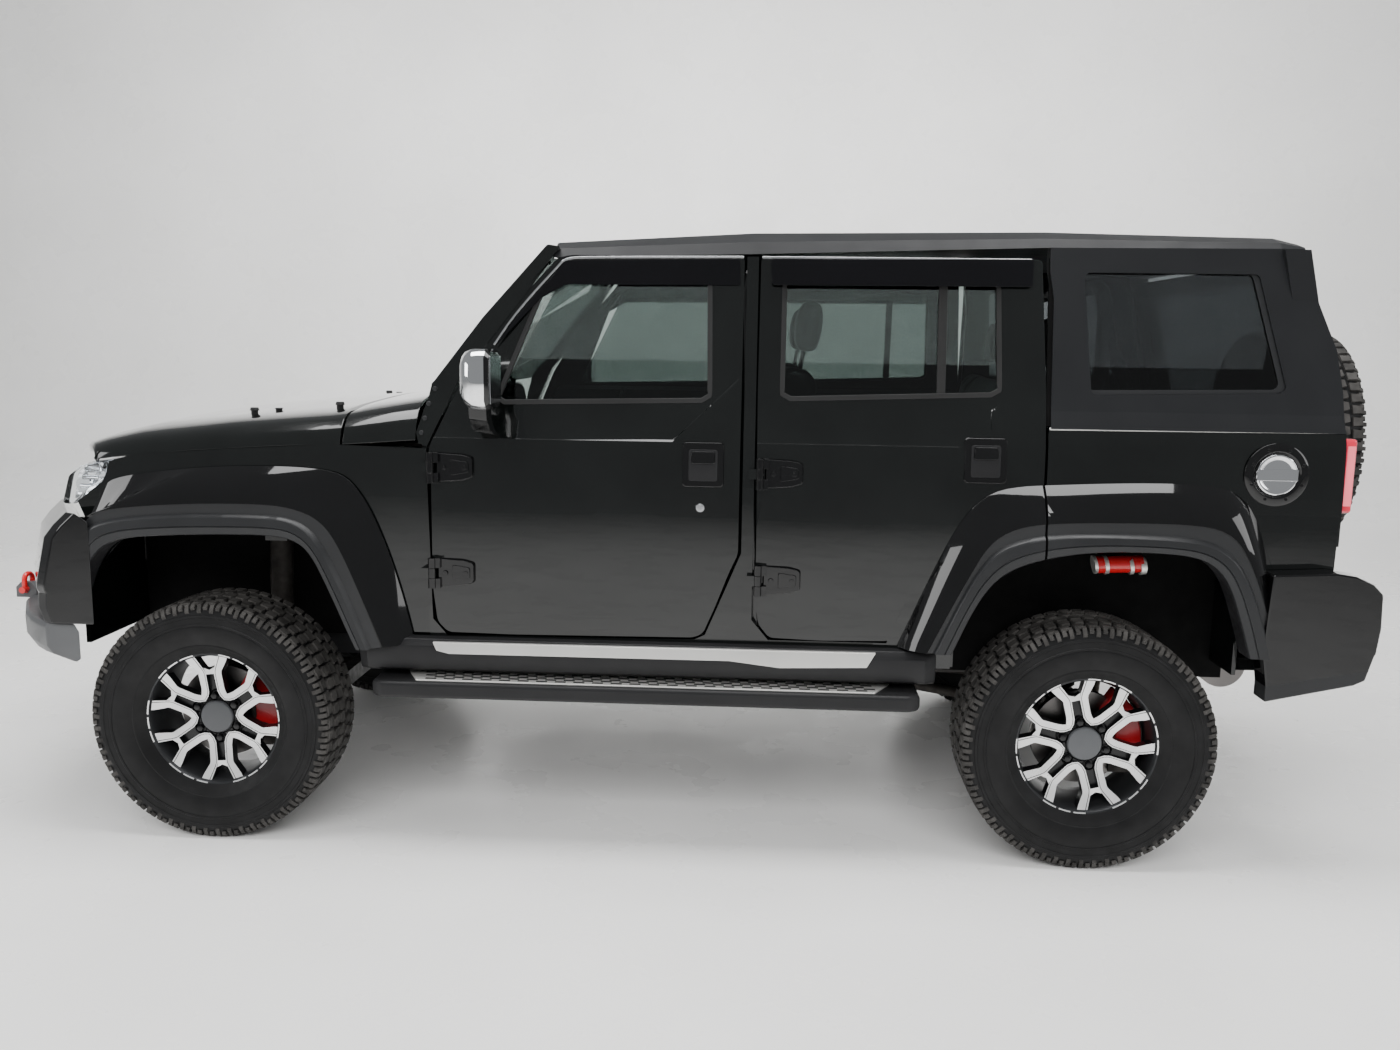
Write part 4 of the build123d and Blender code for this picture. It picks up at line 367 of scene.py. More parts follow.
def slab(bm: Mesh, low: Place, high: Place) -> list[bmesh.types.BMVert]:
    """Add a block between two corners in millimetres.

    Args:
        bm: The mesh to add to.
        low: Lowest corner.
        high: Highest corner.

    Returns:
        The block's vertices.
    """
    a, b = spot(*low), spot(*high)
    made = bmesh.ops.create_cube(bm, size=1)["verts"]
    bmesh.ops.scale(bm, vec=b - a, verts=made)
    bmesh.ops.translate(bm, vec=(a + b) / 2, verts=made)
    return made


def drum(bm: Mesh, start: Vector, end: Vector, radius: float, segments: int = 24,
         tip: float | None = None) -> list[bmesh.types.BMVert]:
    """Add a round bar or cone between two places in metres.

    Args:
        bm: The mesh to add to.
        start: One end.
        end: The other end.
        radius: Radius at the start.
        segments: Sides.
        tip: Radius at the end, if it differs.

    Returns:
        The bar's vertices.
    """
    line = end - start
    turn = line.to_track_quat("Z", "Y").to_matrix().to_4x4()
    place = Matrix.Translation((start + end) / 2) @ turn
    return bmesh.ops.create_cone(
        bm, cap_ends=True, segments=segments, radius1=radius, radius2=radius if tip is None else tip,
        depth=line.length, matrix=place,
    )["verts"]


def turned(profile: Sequence[Point], steps: int = 72) -> Mesh:
    """Spin a profile of (radius, along) in millimetres about Z into a closed piece."""
    bm = bmesh.new()
    verts = [bm.verts.new((radius * MM, 0, along * MM)) for radius, along in profile]
    edges = [bm.edges.new(pair) for pair in zip(verts, verts[1:] + verts[:1])]
    bmesh.ops.spin(bm, geom=verts + edges, cent=(0, 0, 0), axis=(0, 0, 1), angle=math.tau, steps=steps,
                   use_merge=True)
    outward(bm)
    return bm


@dataclass
class Piece:
    """One finished piece of the car.

    Attributes:
        name: Its name.
        body: The body that it rides on.
        slot: The record's material slot. Not used.
        finishes: Its finishes, by material index.
        replaces: The CAD nodes that it stands for.
        crisp: Angle in degrees past which an edge is sharp.
        bevel: Width in millimetres of its edge rounding, 0 for none.
        wall: Thickness in millimetres given inwards, 0 for none.
        smooth: Subdivision levels.
        segments: Steps across its edge rounding.
    """

    name: str
    body: str
    slot: str
    finishes: Sequence[Finish]
    replaces: Sequence[str] = ()
    crisp: float = 32
    bevel: float = 0
    wall: float = 0
    smooth: int = 0
    segments: int = 2

    def finish(self, bm: Mesh) -> bpy.types.Object:
        """Make the object from its mesh and put it on its body.

        Args:
            bm: The mesh in the car's frame. It is freed.

        Returns:
            The object.
        """
        mesh = bpy.data.meshes.new(self.name)
        bm.to_mesh(mesh)
        bm.free()
        for finish in self.finishes:
            mesh.materials.append(finish.material())
        mesh.shade_smooth()
        mesh.set_sharp_from_angle(angle=math.radians(self.crisp))
        made = bpy.data.objects.new(self.name, mesh)
        bpy.context.scene.collection.objects.link(made)
        if self.smooth:
            rounder = made.modifiers.new("rounder", "SUBSURF")
            rounder.levels = rounder.render_levels = self.smooth
        if self.wall:
            thick = made.modifiers.new("wall", "SOLIDIFY")
            thick.thickness = self.wall * MM
            thick.offset = -1
            thick.use_even_offset = True
        if self.bevel:
            edge = made.modifiers.new("edge", "BEVEL")
            edge.width = self.bevel * MM
            edge.segments = self.segments
            edge.limit_method = "ANGLE"
            edge.angle_limit = math.radians(self.crisp)
            edge.harden_normals = True
        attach(made, self.body)
        if self.replaces:
            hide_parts(*self.replaces)
        log.info("made %s", self.name)
        return made


@dataclass
class Wheel:
    """A road wheel: all-terrain tyre, split-spoke rim, nuts and cap.

    Sizes are in millimetres. The axis is Z and the face looks up. The arm's points are shares of the flange's
    radius, and the side's are shares of the sidewall's height and of half the width.
    """

    radius: float = 388
    width: float = 265
    rim: float = 216
    flange: float = 228
    face: float = 70
    lip: float = 95
    units: int = 6
    pitches: int = 58
    groove: float = 9
    line: Point = (0.14, 0.22)
    arm: tuple[tuple[Point, Point], ...] = (
        ((0.234, 0.135), (0.32, 0.185)), ((0.3, 0.085), (0.36, 0.172)), ((0.37, 0.062), (0.42, 0.163)),
        ((0.63, 0.058), (0.64, 0.165)), ((0.665, 0.063), (0.672, 0.175)), ((0.72, 0.082), (0.705, 0.2)),
        ((0.84, 0.138), (0.81, 0.272)), ((0.955, 0.192), (0.93, 0.336)),
    )
    side_shares: Run = (
        (0.02, 0.75), (0.1, 0.8), (0.16, 0.9), (0.3, 0.965), (0.52, 1), (0.7, 0.985), (0.82, 0.95),
        (0.9, 0.9),
    )

    def tyre(self) -> Mesh:
        """The carcass with its raised sidewall rings and the tread blocks.

        Returns:
            A mesh with the carcass as material 0 and the tread as material 1.
        """
        half, rise = self.width / 2, self.radius - self.rim
        side = [(self.rim + rise * s, half * w) for s, w in self.side_shares]
        ring = [(side[2][0] + 4, side[2][1] + 2.5), (side[2][0] + 8, side[2][1] + 2)]
        rings = ((96, 0), (98, 2), (103, 2), (105, -0.4), (122, -1), (124, 1.2), (131, 0.8), (133, -2.5))
        ribs = [(self.rim + r, half - 2.1 + out) for r, out in rings]
        floor, foot = self.radius - self.groove, self.rim - 2
        shoulder = [(floor - 6, half * 0.84), (floor, half * 0.72)]
        side = side[:3] + ring + side[3:5] + ribs + side[6:] + shoulder
        twin = [(r, -a) for r, a in reversed(side)]
        profile = [(foot, half * 0.7)] + side + twin + [(foot, -half * 0.7)]
        return join(turned(profile, 120), self.tread(), 1)

    def tread(self) -> Mesh:
        """One pitch of interlocking blocks, then spun round the tyre.

        Returns:
            The mesh of all the blocks.
        """
        bm = bmesh.new()
        half, pitch = self.width / 2, math.tau / self.pitches
        top, low = self.radius, self.radius - self.groove - 2
        rows = (
            (((-0.16, -0.42), (0.02, -0.46), (0.15, -0.3), (0.12, 0.34), (-0.04, 0.44), (-0.15, 0.24)), 0,
             top),
            (((0.22, -0.3), (0.36, -0.44), (0.5, -0.36), (0.52, 0.22), (0.38, 0.36), (0.23, 0.3)), 0.1, top),
            (((-0.5, -0.34), (-0.36, -0.22), (-0.24, -0.38), (-0.22, 0.2), (-0.36, 0.44), (-0.51, 0.3)), 0.45,
             top),
            (((0.6, -0.38), (0.84, -0.34), (0.84, 0.26), (0.6, 0.32)), 0.35, top - 2),
            (((-0.84, -0.3), (-0.6, -0.36), (-0.6, 0.3), (-0.84, 0.36)), 0.15, top - 2),
        )
        for outline, offset, crest in rows:
            verts = [
                bm.verts.new((crest * MM, pitch * (v + offset) * crest * MM, half * u * MM))
                for u, v in outline
            ]
            face = bm.faces.new(verts)
            self._foot(extruded(bm, face, ((low - crest) * MM, 0, 0)))
        for sign in (-1, 1):
            for offset, reach in ((0, 0.8), (0.5, 0.86)):
                self._lug(bm, sign, pitch * offset, reach)
        for vert in bm.verts:
            around = vert.co.y / max(vert.co.x, 1e-6)
            radius = vert.co.x
            vert.co = Vector((radius * math.cos(around), radius * math.sin(around), vert.co.z))
        bmesh.ops.recalc_face_normals(bm, faces=bm.faces[:])
        bmesh.ops.spin(bm, geom=bm.verts[:] + bm.edges[:] + bm.faces[:], cent=(0, 0, 0), axis=(0, 0, 1),
                       angle=math.tau * (self.pitches - 1) / self.pitches,
                       steps=self.pitches - 1, use_duplicate=True)
        return bm

    def _foot(self, verts: Sequence[bmesh.types.BMVert]) -> None:
        """Make the foot of a tread block slightly wider than its top."""
        middle = sum((v.co for v in verts), Vector()) / len(verts)
        for vert in verts:
            vert.co.y += (vert.co.y - middle.y) * 0.12
            vert.co.z += (vert.co.z - middle.z) * 0.08

    def _lug(self, bm: Mesh, sign: int, turn: float, reach: float) -> None:
        """Add a shoulder lug that runs from the tread down the sidewall."""
        half, rise = self.width / 2, self.radius - self.rim
        wide = math.tau / self.pitches * 0.3 * self.radius
        foot = self.rim + rise * reach
        crest = ((self.radius - 3, 0.8), (self.radius - 7, 0.905), (foot + 8, 0.975), (foot, 0.955))
        bed = ((self.radius - 14, 0.78), (foot, 0.93))
        run, back = [], []
        for made, rows in ((run, crest), (back, bed)):
            for radius, out in rows:
                across = [(turn * radius + s * wide / 2) * MM for s in (-1, 1)]
                made.append([bm.verts.new((radius * MM, y, sign * half * out * MM)) for y in across])
        for a, b in zip(run, run[1:]):
            bm.faces.new((a[0], a[1], b[1], b[0]))
        for s in (0, 1):
            bm.faces.new((run[0][s], run[1][s], run[2][s], run[3][s], back[1][s], back[0][s]))
        bm.faces.new((run[0][0], run[0][1], back[0][1], back[0][0]))
        bm.faces.new((run[3][0], run[3][1], back[1][1], back[1][0]))

    def rim_mesh(self) -> Mesh:
        """The barrel, lip, hub and split spokes.

        Returns:
            A mesh with materials 0 silver, 1 black, 2 barrel, 3 cap.
        """
        lip, rim, flange = self.lip, self.rim, self.flange
        profile = [(flange - 1, lip - 3), (flange + 1, lip), (flange - 3, lip + 3), (rim - 4, lip - 1),
                   (rim - 9, lip - 8), (rim - 14, lip - 30), (rim - 20, 40), (rim - 24, -40),
                   (rim - 12, -lip), (flange, -lip), (flange, -lip + 12), (rim, -lip + 14), (rim, lip - 14),
                   (flange - 1, lip - 12)]
        bm = turned(profile, 144)
        for face in bm.faces:
            middle = face.calc_center_median()
            away = abs((math.degrees(math.atan2(middle.y, middle.x)) + 30) % 60 - 30)
            bright = middle.z > (lip - 2.5) * MM and away < 18.75 and not 5 < away < 7.5
            face.material_index = 0 if bright else 2
        self._hub(bm)
        for unit in range(self.units):
            turn = Matrix.Rotation(math.radians(30 + 60 * unit), 4, "Z")
            for sign in (-1, 1):
                self._arm(bm, sign, turn)
            self._web(bm, turn)
            self._nut(bm, turn)
        return bm

    def _hub(self, bm: Mesh) -> None:
        """The hub's disc, with the bare cap in the middle."""
        for profile, index in (
            (((0, 30), (86, 30), (84, 52), (70, 60), (58, 62), (55, 58), (0, 58)), 1),
            (((0, 50), (52, 50), (53, 66), (50, 70), (41, 71.5), (0, 72.5)), 3),
        ):
            join(bm, turned(profile), index)

    def _arm(self, bm: Mesh, sign: int, turn: Matrix) -> None:
        """One spoke: side by side with its twin near the hub, then splayed to the rim."""
        size = self.flange * MM
        arm = bmesh.new()
        loops = []
        for inner, outer in self.arm:
            a, b = Vector(inner), Vector(outer)
            high = self.face - 4 + 24 * max(0, ((a.x + b.x) / 2 - 0.25) / 0.7) ** 1.6
            loop = []
            for share, drop in ((0, 0), (self.line[0], 0), (self.line[1], 0), (1, 0), (1.08, -30),
                                (-0.08, -30)):
                place = (a + (b - a) * share) * size
                loop.append(arm.verts.new((place.x, sign * place.y, (high + drop) * MM)))
            loops.append(loop)
        for a, b in zip(loops, loops[1:]):
            for i in range(6):
                j = (i + 1) % 6
                arm.faces.new((a[i], a[j], b[j], b[i])).material_index = 0 if i in (0, 2) else 1
        for loop in (loops[0], loops[-1]):
            arm.faces.new(loop).material_index = 1
        bmesh.ops.recalc_face_normals(arm, faces=arm.faces[:])
        bmesh.ops.transform(arm, matrix=turn, verts=arm.verts[:])
        join(bm, arm)

    def _web(self, bm: Mesh, turn: Matrix) -> None:
        """The bridge that joins the twin arms, and the black bed between them."""
        size = self.flange * MM
        web = bmesh.new()
        for outline, high, deep in (
            (((0.63, -0.065), (0.63, 0.065), (0.73, 0.09), (0.69, 0), (0.73, -0.09)), 5.5, 25),
            (((0.3, -0.1), (0.3, 0.1), (0.66, 0.1), (0.66, -0.1)), -14, 12)
        ):
            face = web.faces.new(
                [web.verts.new((x * size, y * size, (self.face + high) * MM)) for x, y in outline]
            )
            extruded(web, face, (0, 0, -deep * MM))
        bmesh.ops.recalc_face_normals(web, faces=web.faces[:])
        for part in web.faces:
            bright = part.normal.z > 0.8 and part.calc_center_median().z > self.face * MM
            part.material_index = 0 if bright else 1
        bmesh.ops.transform(web, matrix=turn, verts=web.verts[:])
        join(bm, web)

    def _nut(self, bm: Mesh, turn: Matrix) -> None:
        """A wheel nut in its seat at the slot's inner end."""
        nut = bmesh.new()
        low, top, circle = 0.05, 0.071, 0.06985
        place = Matrix.Translation((circle, 0, (low + top) / 2))
        bmesh.ops.create_cone(nut, cap_ends=True, segments=6, radius1=0.0115, radius2=0.0105, depth=top - low,
                              matrix=place)
        bmesh.ops.bevel(nut, geom=nut.edges[:], offset=0.0012, segments=2, profile=0.5, affect="EDGES",
                        material=-1)
        bmesh.ops.transform(nut, matrix=turn, verts=nut.verts[:])
        join(bm, nut, 1)
        seat = turned([(13, 52), (18.5, 52), (18.5, 64), (16.5, 66), (13, 60)], 24)
        bmesh.ops.transform(seat, matrix=turn @ Matrix.Translation((circle, 0, 0)), verts=seat.verts[:])
        join(bm, seat, 1)

    def fit(self) -> None:
        """Put tyres and rims on all four corners and the spare on the tailgate."""
        tyre, rim = self.tyre(), self.rim_mesh()
        half_base, hub, half_track = 1372.5, 376, 805
        for end, x, extra in (("front", half_base, 5), ("rear", -half_base, 15)):
            for side in Side:
                upright = Matrix.Rotation(math.radians(-90 * side.value), 4, "X")
                turn = upright @ Matrix.Rotation(math.radians(extra), 4, "Z")
                place = Matrix.Translation(spot(x, side.value * half_track, hub)) @ turn
                self._place(tyre, rim, place, f"{end}_{side.word}", f"wheel_{end}_{side.word}")
        place = Matrix.Translation(spot(-2247.5, 0, 1265)) @ Matrix.Rotation(math.radians(-90), 4, "Y")
        self._place(tyre, rim, place, "spare", "tailgate")
        tyre.free()
        rim.free()

    def _place(self, tyre: Mesh, rim: Mesh, place: Matrix, word: str, body: str) -> None:
        """Put one wheel's two pieces in place."""
        nodes = ("spare_tyre", "spare_rim") if word == "spare" else (f"tyre_{word}", f"rim_{word}")
        for source, name, finishes, slot, node, crisp in (
            (tyre, "tyre", (Finishes.TYRE, Finishes.TREAD), "tyre_rubber", nodes[0], 28),
            (rim, "rim", (Finishes.SILVER, Finishes.POCKET, Finishes.BARREL, Finishes.CAP), "aluminium_face",
             nodes[1], 30),
        ):
            mesh = source.copy()
            bmesh.ops.transform(mesh, matrix=place, verts=mesh.verts[:])
            Piece(f"{name}_{word}_detail", body, slot, finishes, (node,), crisp=crisp).finish(mesh)


def centre_of(outline: Sequence[Point]) -> Point:
    """The mean of an outline's corners."""
    return sum(x for x, _ in outline) / len(outline), sum(z for _, z in outline) / len(outline)


def oblong(x: float, half: float, low: float, high: float) -> list[Point]:
    """Corners of an upright rectangle about the middle x."""
    return [(x + half, low), (x + half, high), (x - half, high), (x - half, low)]


@dataclass
class SideSkin:
    """The outer surface of the car's side, and panels cut from it. Heights and widths in millimetres."""

    section: Run = (
        (480, 860), (600, 864), (700, 868.5), (850, 870.5), (1000, 871), (1150, 869.5), (1230, 867),
        (1290, 862.5), (1300, 860.5), (1350, 849.5), (1400, 838), (1480, 827.5), (1854, 776), (1900, 768),
    )
    rows: tuple[float, ...] = (
        640, 700, 760, 850, 940, 1030, 1110, 1180, 1230, 1265, 1286, 1292, 1340, 1398, 1402, 1480, 1600,
        1740,
    )
    step: float = 4

    def width(self, z: float) -> float:
        """Half width of the surface at a height."""
        return level(self.section, z)

    def panel(self, outline: Sequence[Point], holes: Sequence[tuple[Sequence[Point], float]] = (),
              radius: float = 12, inset: float = 0,
              cuts: Sequence[tuple[Point, Point]] = (),
              dent: Callable[[float, float], float] | None = None) -> Mesh:
        """A panel of the left side's surface.

        Args:
            outline: Corners as (x, z).
            holes: Openings, each with its corner radius.
            radius: Corner radius of the outline.
            inset: How far the panel lies inside the surface.
            cuts: Extra lines along which the panel is divided.
            dent: Depth of a pressing at (x, z).

        Returns:
            An open skin that faces outwards.
        """
        bm = bmesh.new()
        edges = self._ring(bm, outline, radius)
        for points, hole_radius in holes:
            edges += self._ring(bm, points, hole_radius)
        bmesh.ops.triangle_fill(bm, use_beauty=True, use_dissolve=False,
                                edges=[e for e in edges if e.is_valid], normal=(0, 1, 0))
        for z in self.rows:
            cut(bm, spot(0, 0, z), (0, 0, 1), dist=1e-7)
        for (x1, z1), (x2, z2) in cuts:
            cut(bm, spot(x1, 0, z1), Vector((z2 - z1, 0, x1 - x2)).normalized(), dist=1e-7)
        for vert in bm.verts:
            x, z = vert.co.x / MM - SHIFT.x, vert.co.z / MM - SHIFT.z
            deep = dent(x, z) if dent else 0
            vert.co.y = (self.width(z) - inset - deep) * MM
        if sum(f.normal.y * f.calc_area() for f in bm.faces) < 0:
            bmesh.ops.reverse_faces(bm, faces=bm.faces[:])
        bm.normal_update()
        return bm

    def _ring(self, bm: Mesh, points: Sequence[Point], radius: float) -> list[bmesh.types.BMEdge]:
        """A closed wire on the side with its corners rounded."""
        loose = bmesh.new()
        verts = [loose.verts.new(spot(x, 0, z)) for x, z in points]
        loose.faces.new(verts)
        if radius > 0:
            bmesh.ops.bevel(loose, geom=verts, offset=radius * MM, offset_type="OFFSET", segments=4,
                            profile=0.5, affect="VERTICES", material=-1)
        face = max(loose.faces, key=lambda f: len(f.verts))
        ring = [bm.verts.new(v.co) for v in face.verts]
        edges = [bm.edges.new(pair) for pair in zip(ring, ring[1:] + ring[:1])]
        loose.free()
        return edges

    def ribbon(self, points: Sequence[Point], width: float, proud: float, closed: bool = False,
               thick: float = 3) -> Mesh:
        """A strip that follows a run on the surface, such as a seal or a bright line.

        Args:
            points: The run's middle as (x, z).
            width: Width of the strip.
            proud: How far its face stands out of the surface.
            closed: True where the run is a ring.
            thick: Depth of the strip.

        Returns:
            The strip as a closed piece.
        """
        bm = bmesh.new()
        loops = []
        count = len(points)
        for index, (x, z) in enumerate(points):
            before = points[index - 1] if index or closed else points[index]
            after = points[(index + 1) % count] if index < count - 1 or closed else points[index]
            line = Vector((after[0] - before[0], after[1] - before[1])).normalized()
            side = Vector((-line.y, line.x)) * width / 2
            loop = []
            for share, depth in ((1, thick), (1, 0), (-1, 0), (-1, thick)):
                px, pz = x + side.x * share, z + side.y * share
                loop.append(bm.verts.new(spot(px, self.width(pz) + proud - depth, pz)))
            loops.append(loop)
        pairs = list(zip(loops, loops[1:])) + ([(loops[-1], loops[0])] if closed else [])
        for a, b in pairs:
            for i in range(4):
                j = (i + 1) % 4
                bm.faces.new((a[i], a[j], b[j], b[i]))
        if not closed:
            bm.faces.new(loops[0])
            bm.faces.new(loops[-1])
        bmesh.ops.recalc_face_normals(bm, faces=bm.faces[:])
        return bm

    def block(self, outline: Sequence[Point], low: float, high: float, radius: float = 6,
              taper: float = 0) -> Mesh:
        """A solid with an (x, z) outline between two distances from the surface.

        Args:
            outline: Corners as (x, z).
            low: Distance of its foot from the surface.
            high: Distance of its face.
            radius: Corner radius.
            taper: How far the face is set in from the foot.

        Returns:
            The solid.
        """
        bm = bmesh.new()
        self._ring(bm, outline, radius)
        top = set(extruded(bm, bm.faces.new(bm.verts[:]), (0, 0, 0)))
        cx, cz = centre_of(outline)
        centre = spot(cx, 0, cz)
        for vert in bm.verts:
            base = self.width(vert.co.z / MM - SHIFT.z)
            if vert in top:
                vert.co.y = (base + high) * MM
                if taper:
                    away = Vector((vert.co.x - centre.x, 0, vert.co.z - centre.z))
                    if away.length > 0:
                        vert.co -= away.normalized() * min(taper * MM, away.length)
            else:
                vert.co.y = (base + low) * MM
        bmesh.ops.recalc_face_normals(bm, faces=bm.faces[:])
        return bm


def join(bm: Mesh, other: Mesh, index: int | None = None) -> Mesh:
    """Add another mesh to a mesh, with one material index if it is given, and free it."""
    if index is not None:
        for face in other.faces:
            face.material_index = index
    mesh = bpy.data.meshes.new("part")
    other.to_mesh(mesh)
    other.free()
    bm.from_mesh(mesh)
    bpy.data.meshes.remove(mesh)
    return bm


def on_both(name: str, body: str, slot: str, finishes: Sequence[Finish], bm: Mesh,
            replaces: Sequence[str] = (), **looks: float) -> None:
    """Finish a left piece and its right twin.

    Args:
        name: Name without the side.
        body: Body name, with {side} where it differs.
        slot: The record's material slot.
        finishes: Its finishes.
        bm: The left mesh, which is freed.
        replaces: Nodes that each side stands for, with {side} where they differ. A node without it goes
            with the left piece.
        looks: Values of the piece, such as bevel and wall.
    """
    twin = mirrored(bm)
    for side, mesh in ((Side.LEFT, bm), (Side.RIGHT, twin)):
        nodes = [n.format(side=side.word) for n in replaces if "{side}" in n or side is Side.LEFT]
        Piece(f"{name}_{side.word}", body.format(side=side.word), slot, finishes, nodes, **looks).finish(mesh)


@dataclass
class Doors:
    """The four doors: skin, inner panel, seals, visor, handle, lock and hinges."""

    skin: SideSkin
    front: Run = (
        (660, 1150), (667, 1253), (574, 1455), (502, 1567), (374, 1730), (299, 1814), (282, 1835),
        (240, 1844), (-292, 1845), (-290, 946), (-262, 884), (-222, 778), (-186, 693), (-157, 679),
        (409, 673), (615, 676), (648, 710), (660, 817),
    )
    rear: Run = (
        (-345, 1016), (-340, 1436), (-342, 1845), (-1182, 1845), (-1203, 1452), (-1203, 1165),
        (-1100, 1160), (-1030, 1140), (-950, 1040), (-885, 909), (-826, 768), (-790, 690), (-747, 684),
        (-548, 680), (-391, 685), (-356, 728), (-346, 798),
    )
    front_window: Run = ((461, 1397), (-194, 1413), (-187, 1780), (285, 1780), (330, 1722))
    rear_window: Run = ((-415, 1421), (-416, 1778), (-1053, 1778), (-1064, 1444))
    front_notch: tuple[Point, Point] = ((-208, 1404), (-90, 1292))
    rear_notch: tuple[Point, Point] = ((-1075, 1430), (-957, 1292))

    def build(self) -> None:
        """Make both doors of both sides."""
        for word, outline, window, notch in (
            ("front", self.front, self.front_window, self.front_notch),
            ("rear", self.rear, self.rear_window, self.rear_notch)
        ):
            self._panel(word, outline, window, notch)
            self._inner(word, outline)
            self._seals(word, window)
        front_visor = (
            (467, 1562), (414, 1640), (350, 1716), (283, 1790), (262, 1826), (-278, 1836), (-281, 1759),
            (250, 1755), (330, 1712),
        )
        self._visor("front", front_visor)
        self._visor("rear", ((-372, 1838), (-1155, 1844), (-1152, 1763), (-376, 1760)))
        for word, x, z in (("front", -179, 1219), ("rear", -1027, 1247)):
            self._handle(word, x, z)
        for word, x, heights in (("front", 656, (1196, 868)), ("rear", -352, (1196, 868))):
            for index, z in enumerate(heights):
                self._hinge(word, x, z, index)

    def _recess(self, notch: tuple[Point, Point]) -> Callable[[float, float], float]:
        """Depth of the pressing round the window, which ends at a slanted line behind it."""
        (x1, z1), (x2, z2) = notch
        foot, head = 1290, 1430

        def depth(x: float, z: float) -> float:
            """Depth at (x, z)."""
            if z <= foot:
                return 0
            ahead = (x - x1) * (z2 - z1) - (z - z1) * (x2 - x1)
            inside = ahead < 0 or z > head
            return self.skin.step if inside else 0

        return depth

    def _panel(self, word: str, outline: Sequence[Point], window: Sequence[Point],
               notch: tuple[Point, Point]) -> None:
        """The painted skin with its window opening."""
        (x1, z1), (x2, z2) = notch
        lines = [notch, ((x1 + 5, z1), (x2 + 5, z2))]
        bm = self.skin.panel(outline, [(window, 22)], radius=14, cuts=lines, dent=self._recess(notch))
        on_both(f"door_{word}_skin", f"door_{word}_{{side}}", "body_black", (Finishes.PAINT,), bm,
                [f"door_{word}_{{side}}"], wall=16, bevel=2.2, crisp=26)

    def _inner(self, word: str, outline: Sequence[Point]) -> None:
        """The lining and the frame inside, narrower than the skin."""
        cx, cz = centre_of(outline)
        narrow = 22
        small = [
            tuple(at + math.copysign(min(narrow, abs(to - at)), to - at) for at, to in ((x, cx), (z, cz)))
            for x, z in outline
        ]
        belt = 1392
        low = [(x, min(z, belt)) for x, z in small]
        unique = [p for i, p in enumerate(low) if p != low[i - 1]]
        bm = self.skin.panel(unique, radius=10, inset=16.5)
        on_both(f"door_{word}_lining", f"door_{word}_{{side}}", "plastic_black", (Finishes.CABIN,), bm,
                wall=70, bevel=6, crisp=40)

    def _seals(self, word: str, window: Sequence[Point]) -> None:
        """The black seal round the glass and the bar of the rear door's window."""
        cx, cz = centre_of(window)
        ring = [(x + math.copysign(1, x - cx), z + math.copysign(1, z - cz)) for x, z in window]
        dense: list[Point] = []
        for a, b in zip(ring, ring[1:] + ring[:1]):
            for share in (0.04, 0.08, 0.3, 0.5, 0.7, 0.92, 0.96):
                dense.append((a[0] + (b[0] - a[0]) * share, a[1] + (b[1] - a[1]) * share))
        bm = self.skin.ribbon(dense, 15, -1.5, closed=True, thick=14)
        if word == "rear":
            bar = self.skin.ribbon([(-891, 1440), (-891, 1500), (-891, 1640), (-891, 1776)], 26, -5, thick=14)
            join(bm, bar)
        on_both(f"door_{word}_seal", f"door_{word}_{{side}}", "plastic_black", (Finishes.RUBBER,), bm,
                bevel=1.5)

    def _visor(self, word: str, outline: Sequence[Point]) -> None:
        """The smoked rain visor with its bright line along the top."""
        bm = self.skin.panel(outline, radius=9, inset=-16)
        low = min(z for _, z in outline)
        for vert in bm.verts:
            z = vert.co.z / MM - SHIFT.z
            lean = max(0, (z - (low + 10)) / 90)
            vert.co.y -= min(1, lean) ** 2 * 14 * MM
        on_both(f"door_{word}_visor", f"door_{word}_{{side}}", "plastic_black", (Finishes.SMOKE,), bm, wall=3,
                bevel=1.2, crisp=50)
        if word == "front":
            run = smoothed([(470, 1570), (418, 1648), (352, 1728), (282, 1804), (256, 1834), (180, 1838),
                            (-290, 1843)])
        else:
            run = [(-345, 1843), (-700, 1843), (-1150, 1843)]
        strip = self.skin.ribbon(run, 6, 4, thick=4)
        on_both(f"door_{word}_bright_line", f"door_{word}_{{side}}", "chrome_trim", (Finishes.CHROME,), strip,
                bevel=1)

    def _handle(self, word: str, x: float, z: float) -> None:
        """The square handle: frame, recess and lift plate."""
        bm = self.skin.block(oblong(x, 64, z - 69, z + 69), -2, 7, radius=12, taper=3)
        join(bm, self.skin.block(oblong(x, 44, z - 50, z + 46), -2, 8, radius=8), 1)
        join(bm, self.skin.block(oblong(x, 38, z + 2, z + 42), 0, 13, radius=6, taper=3), 0)
        on_both(f"door_{word}_handle", f"door_{word}_{{side}}", "plastic_black",
                (Finishes.MOULDING, Finishes.GRAINED), bm, bevel=1.5)
        if word == "front":
            lock = bmesh.new()
            lock_x, lock_z = -172, 1087
            base = self.skin.width(lock_z)
            for out, radius in ((4, 0.013), (5.5, 0.009)):
                drum(lock, spot(lock_x, base - 2, lock_z), spot(lock_x, base + out, lock_z), radius, 32)
            on_both("door_lock", "door_front_{side}", "chrome_trim", (Finishes.CHROME,), lock, bevel=1)

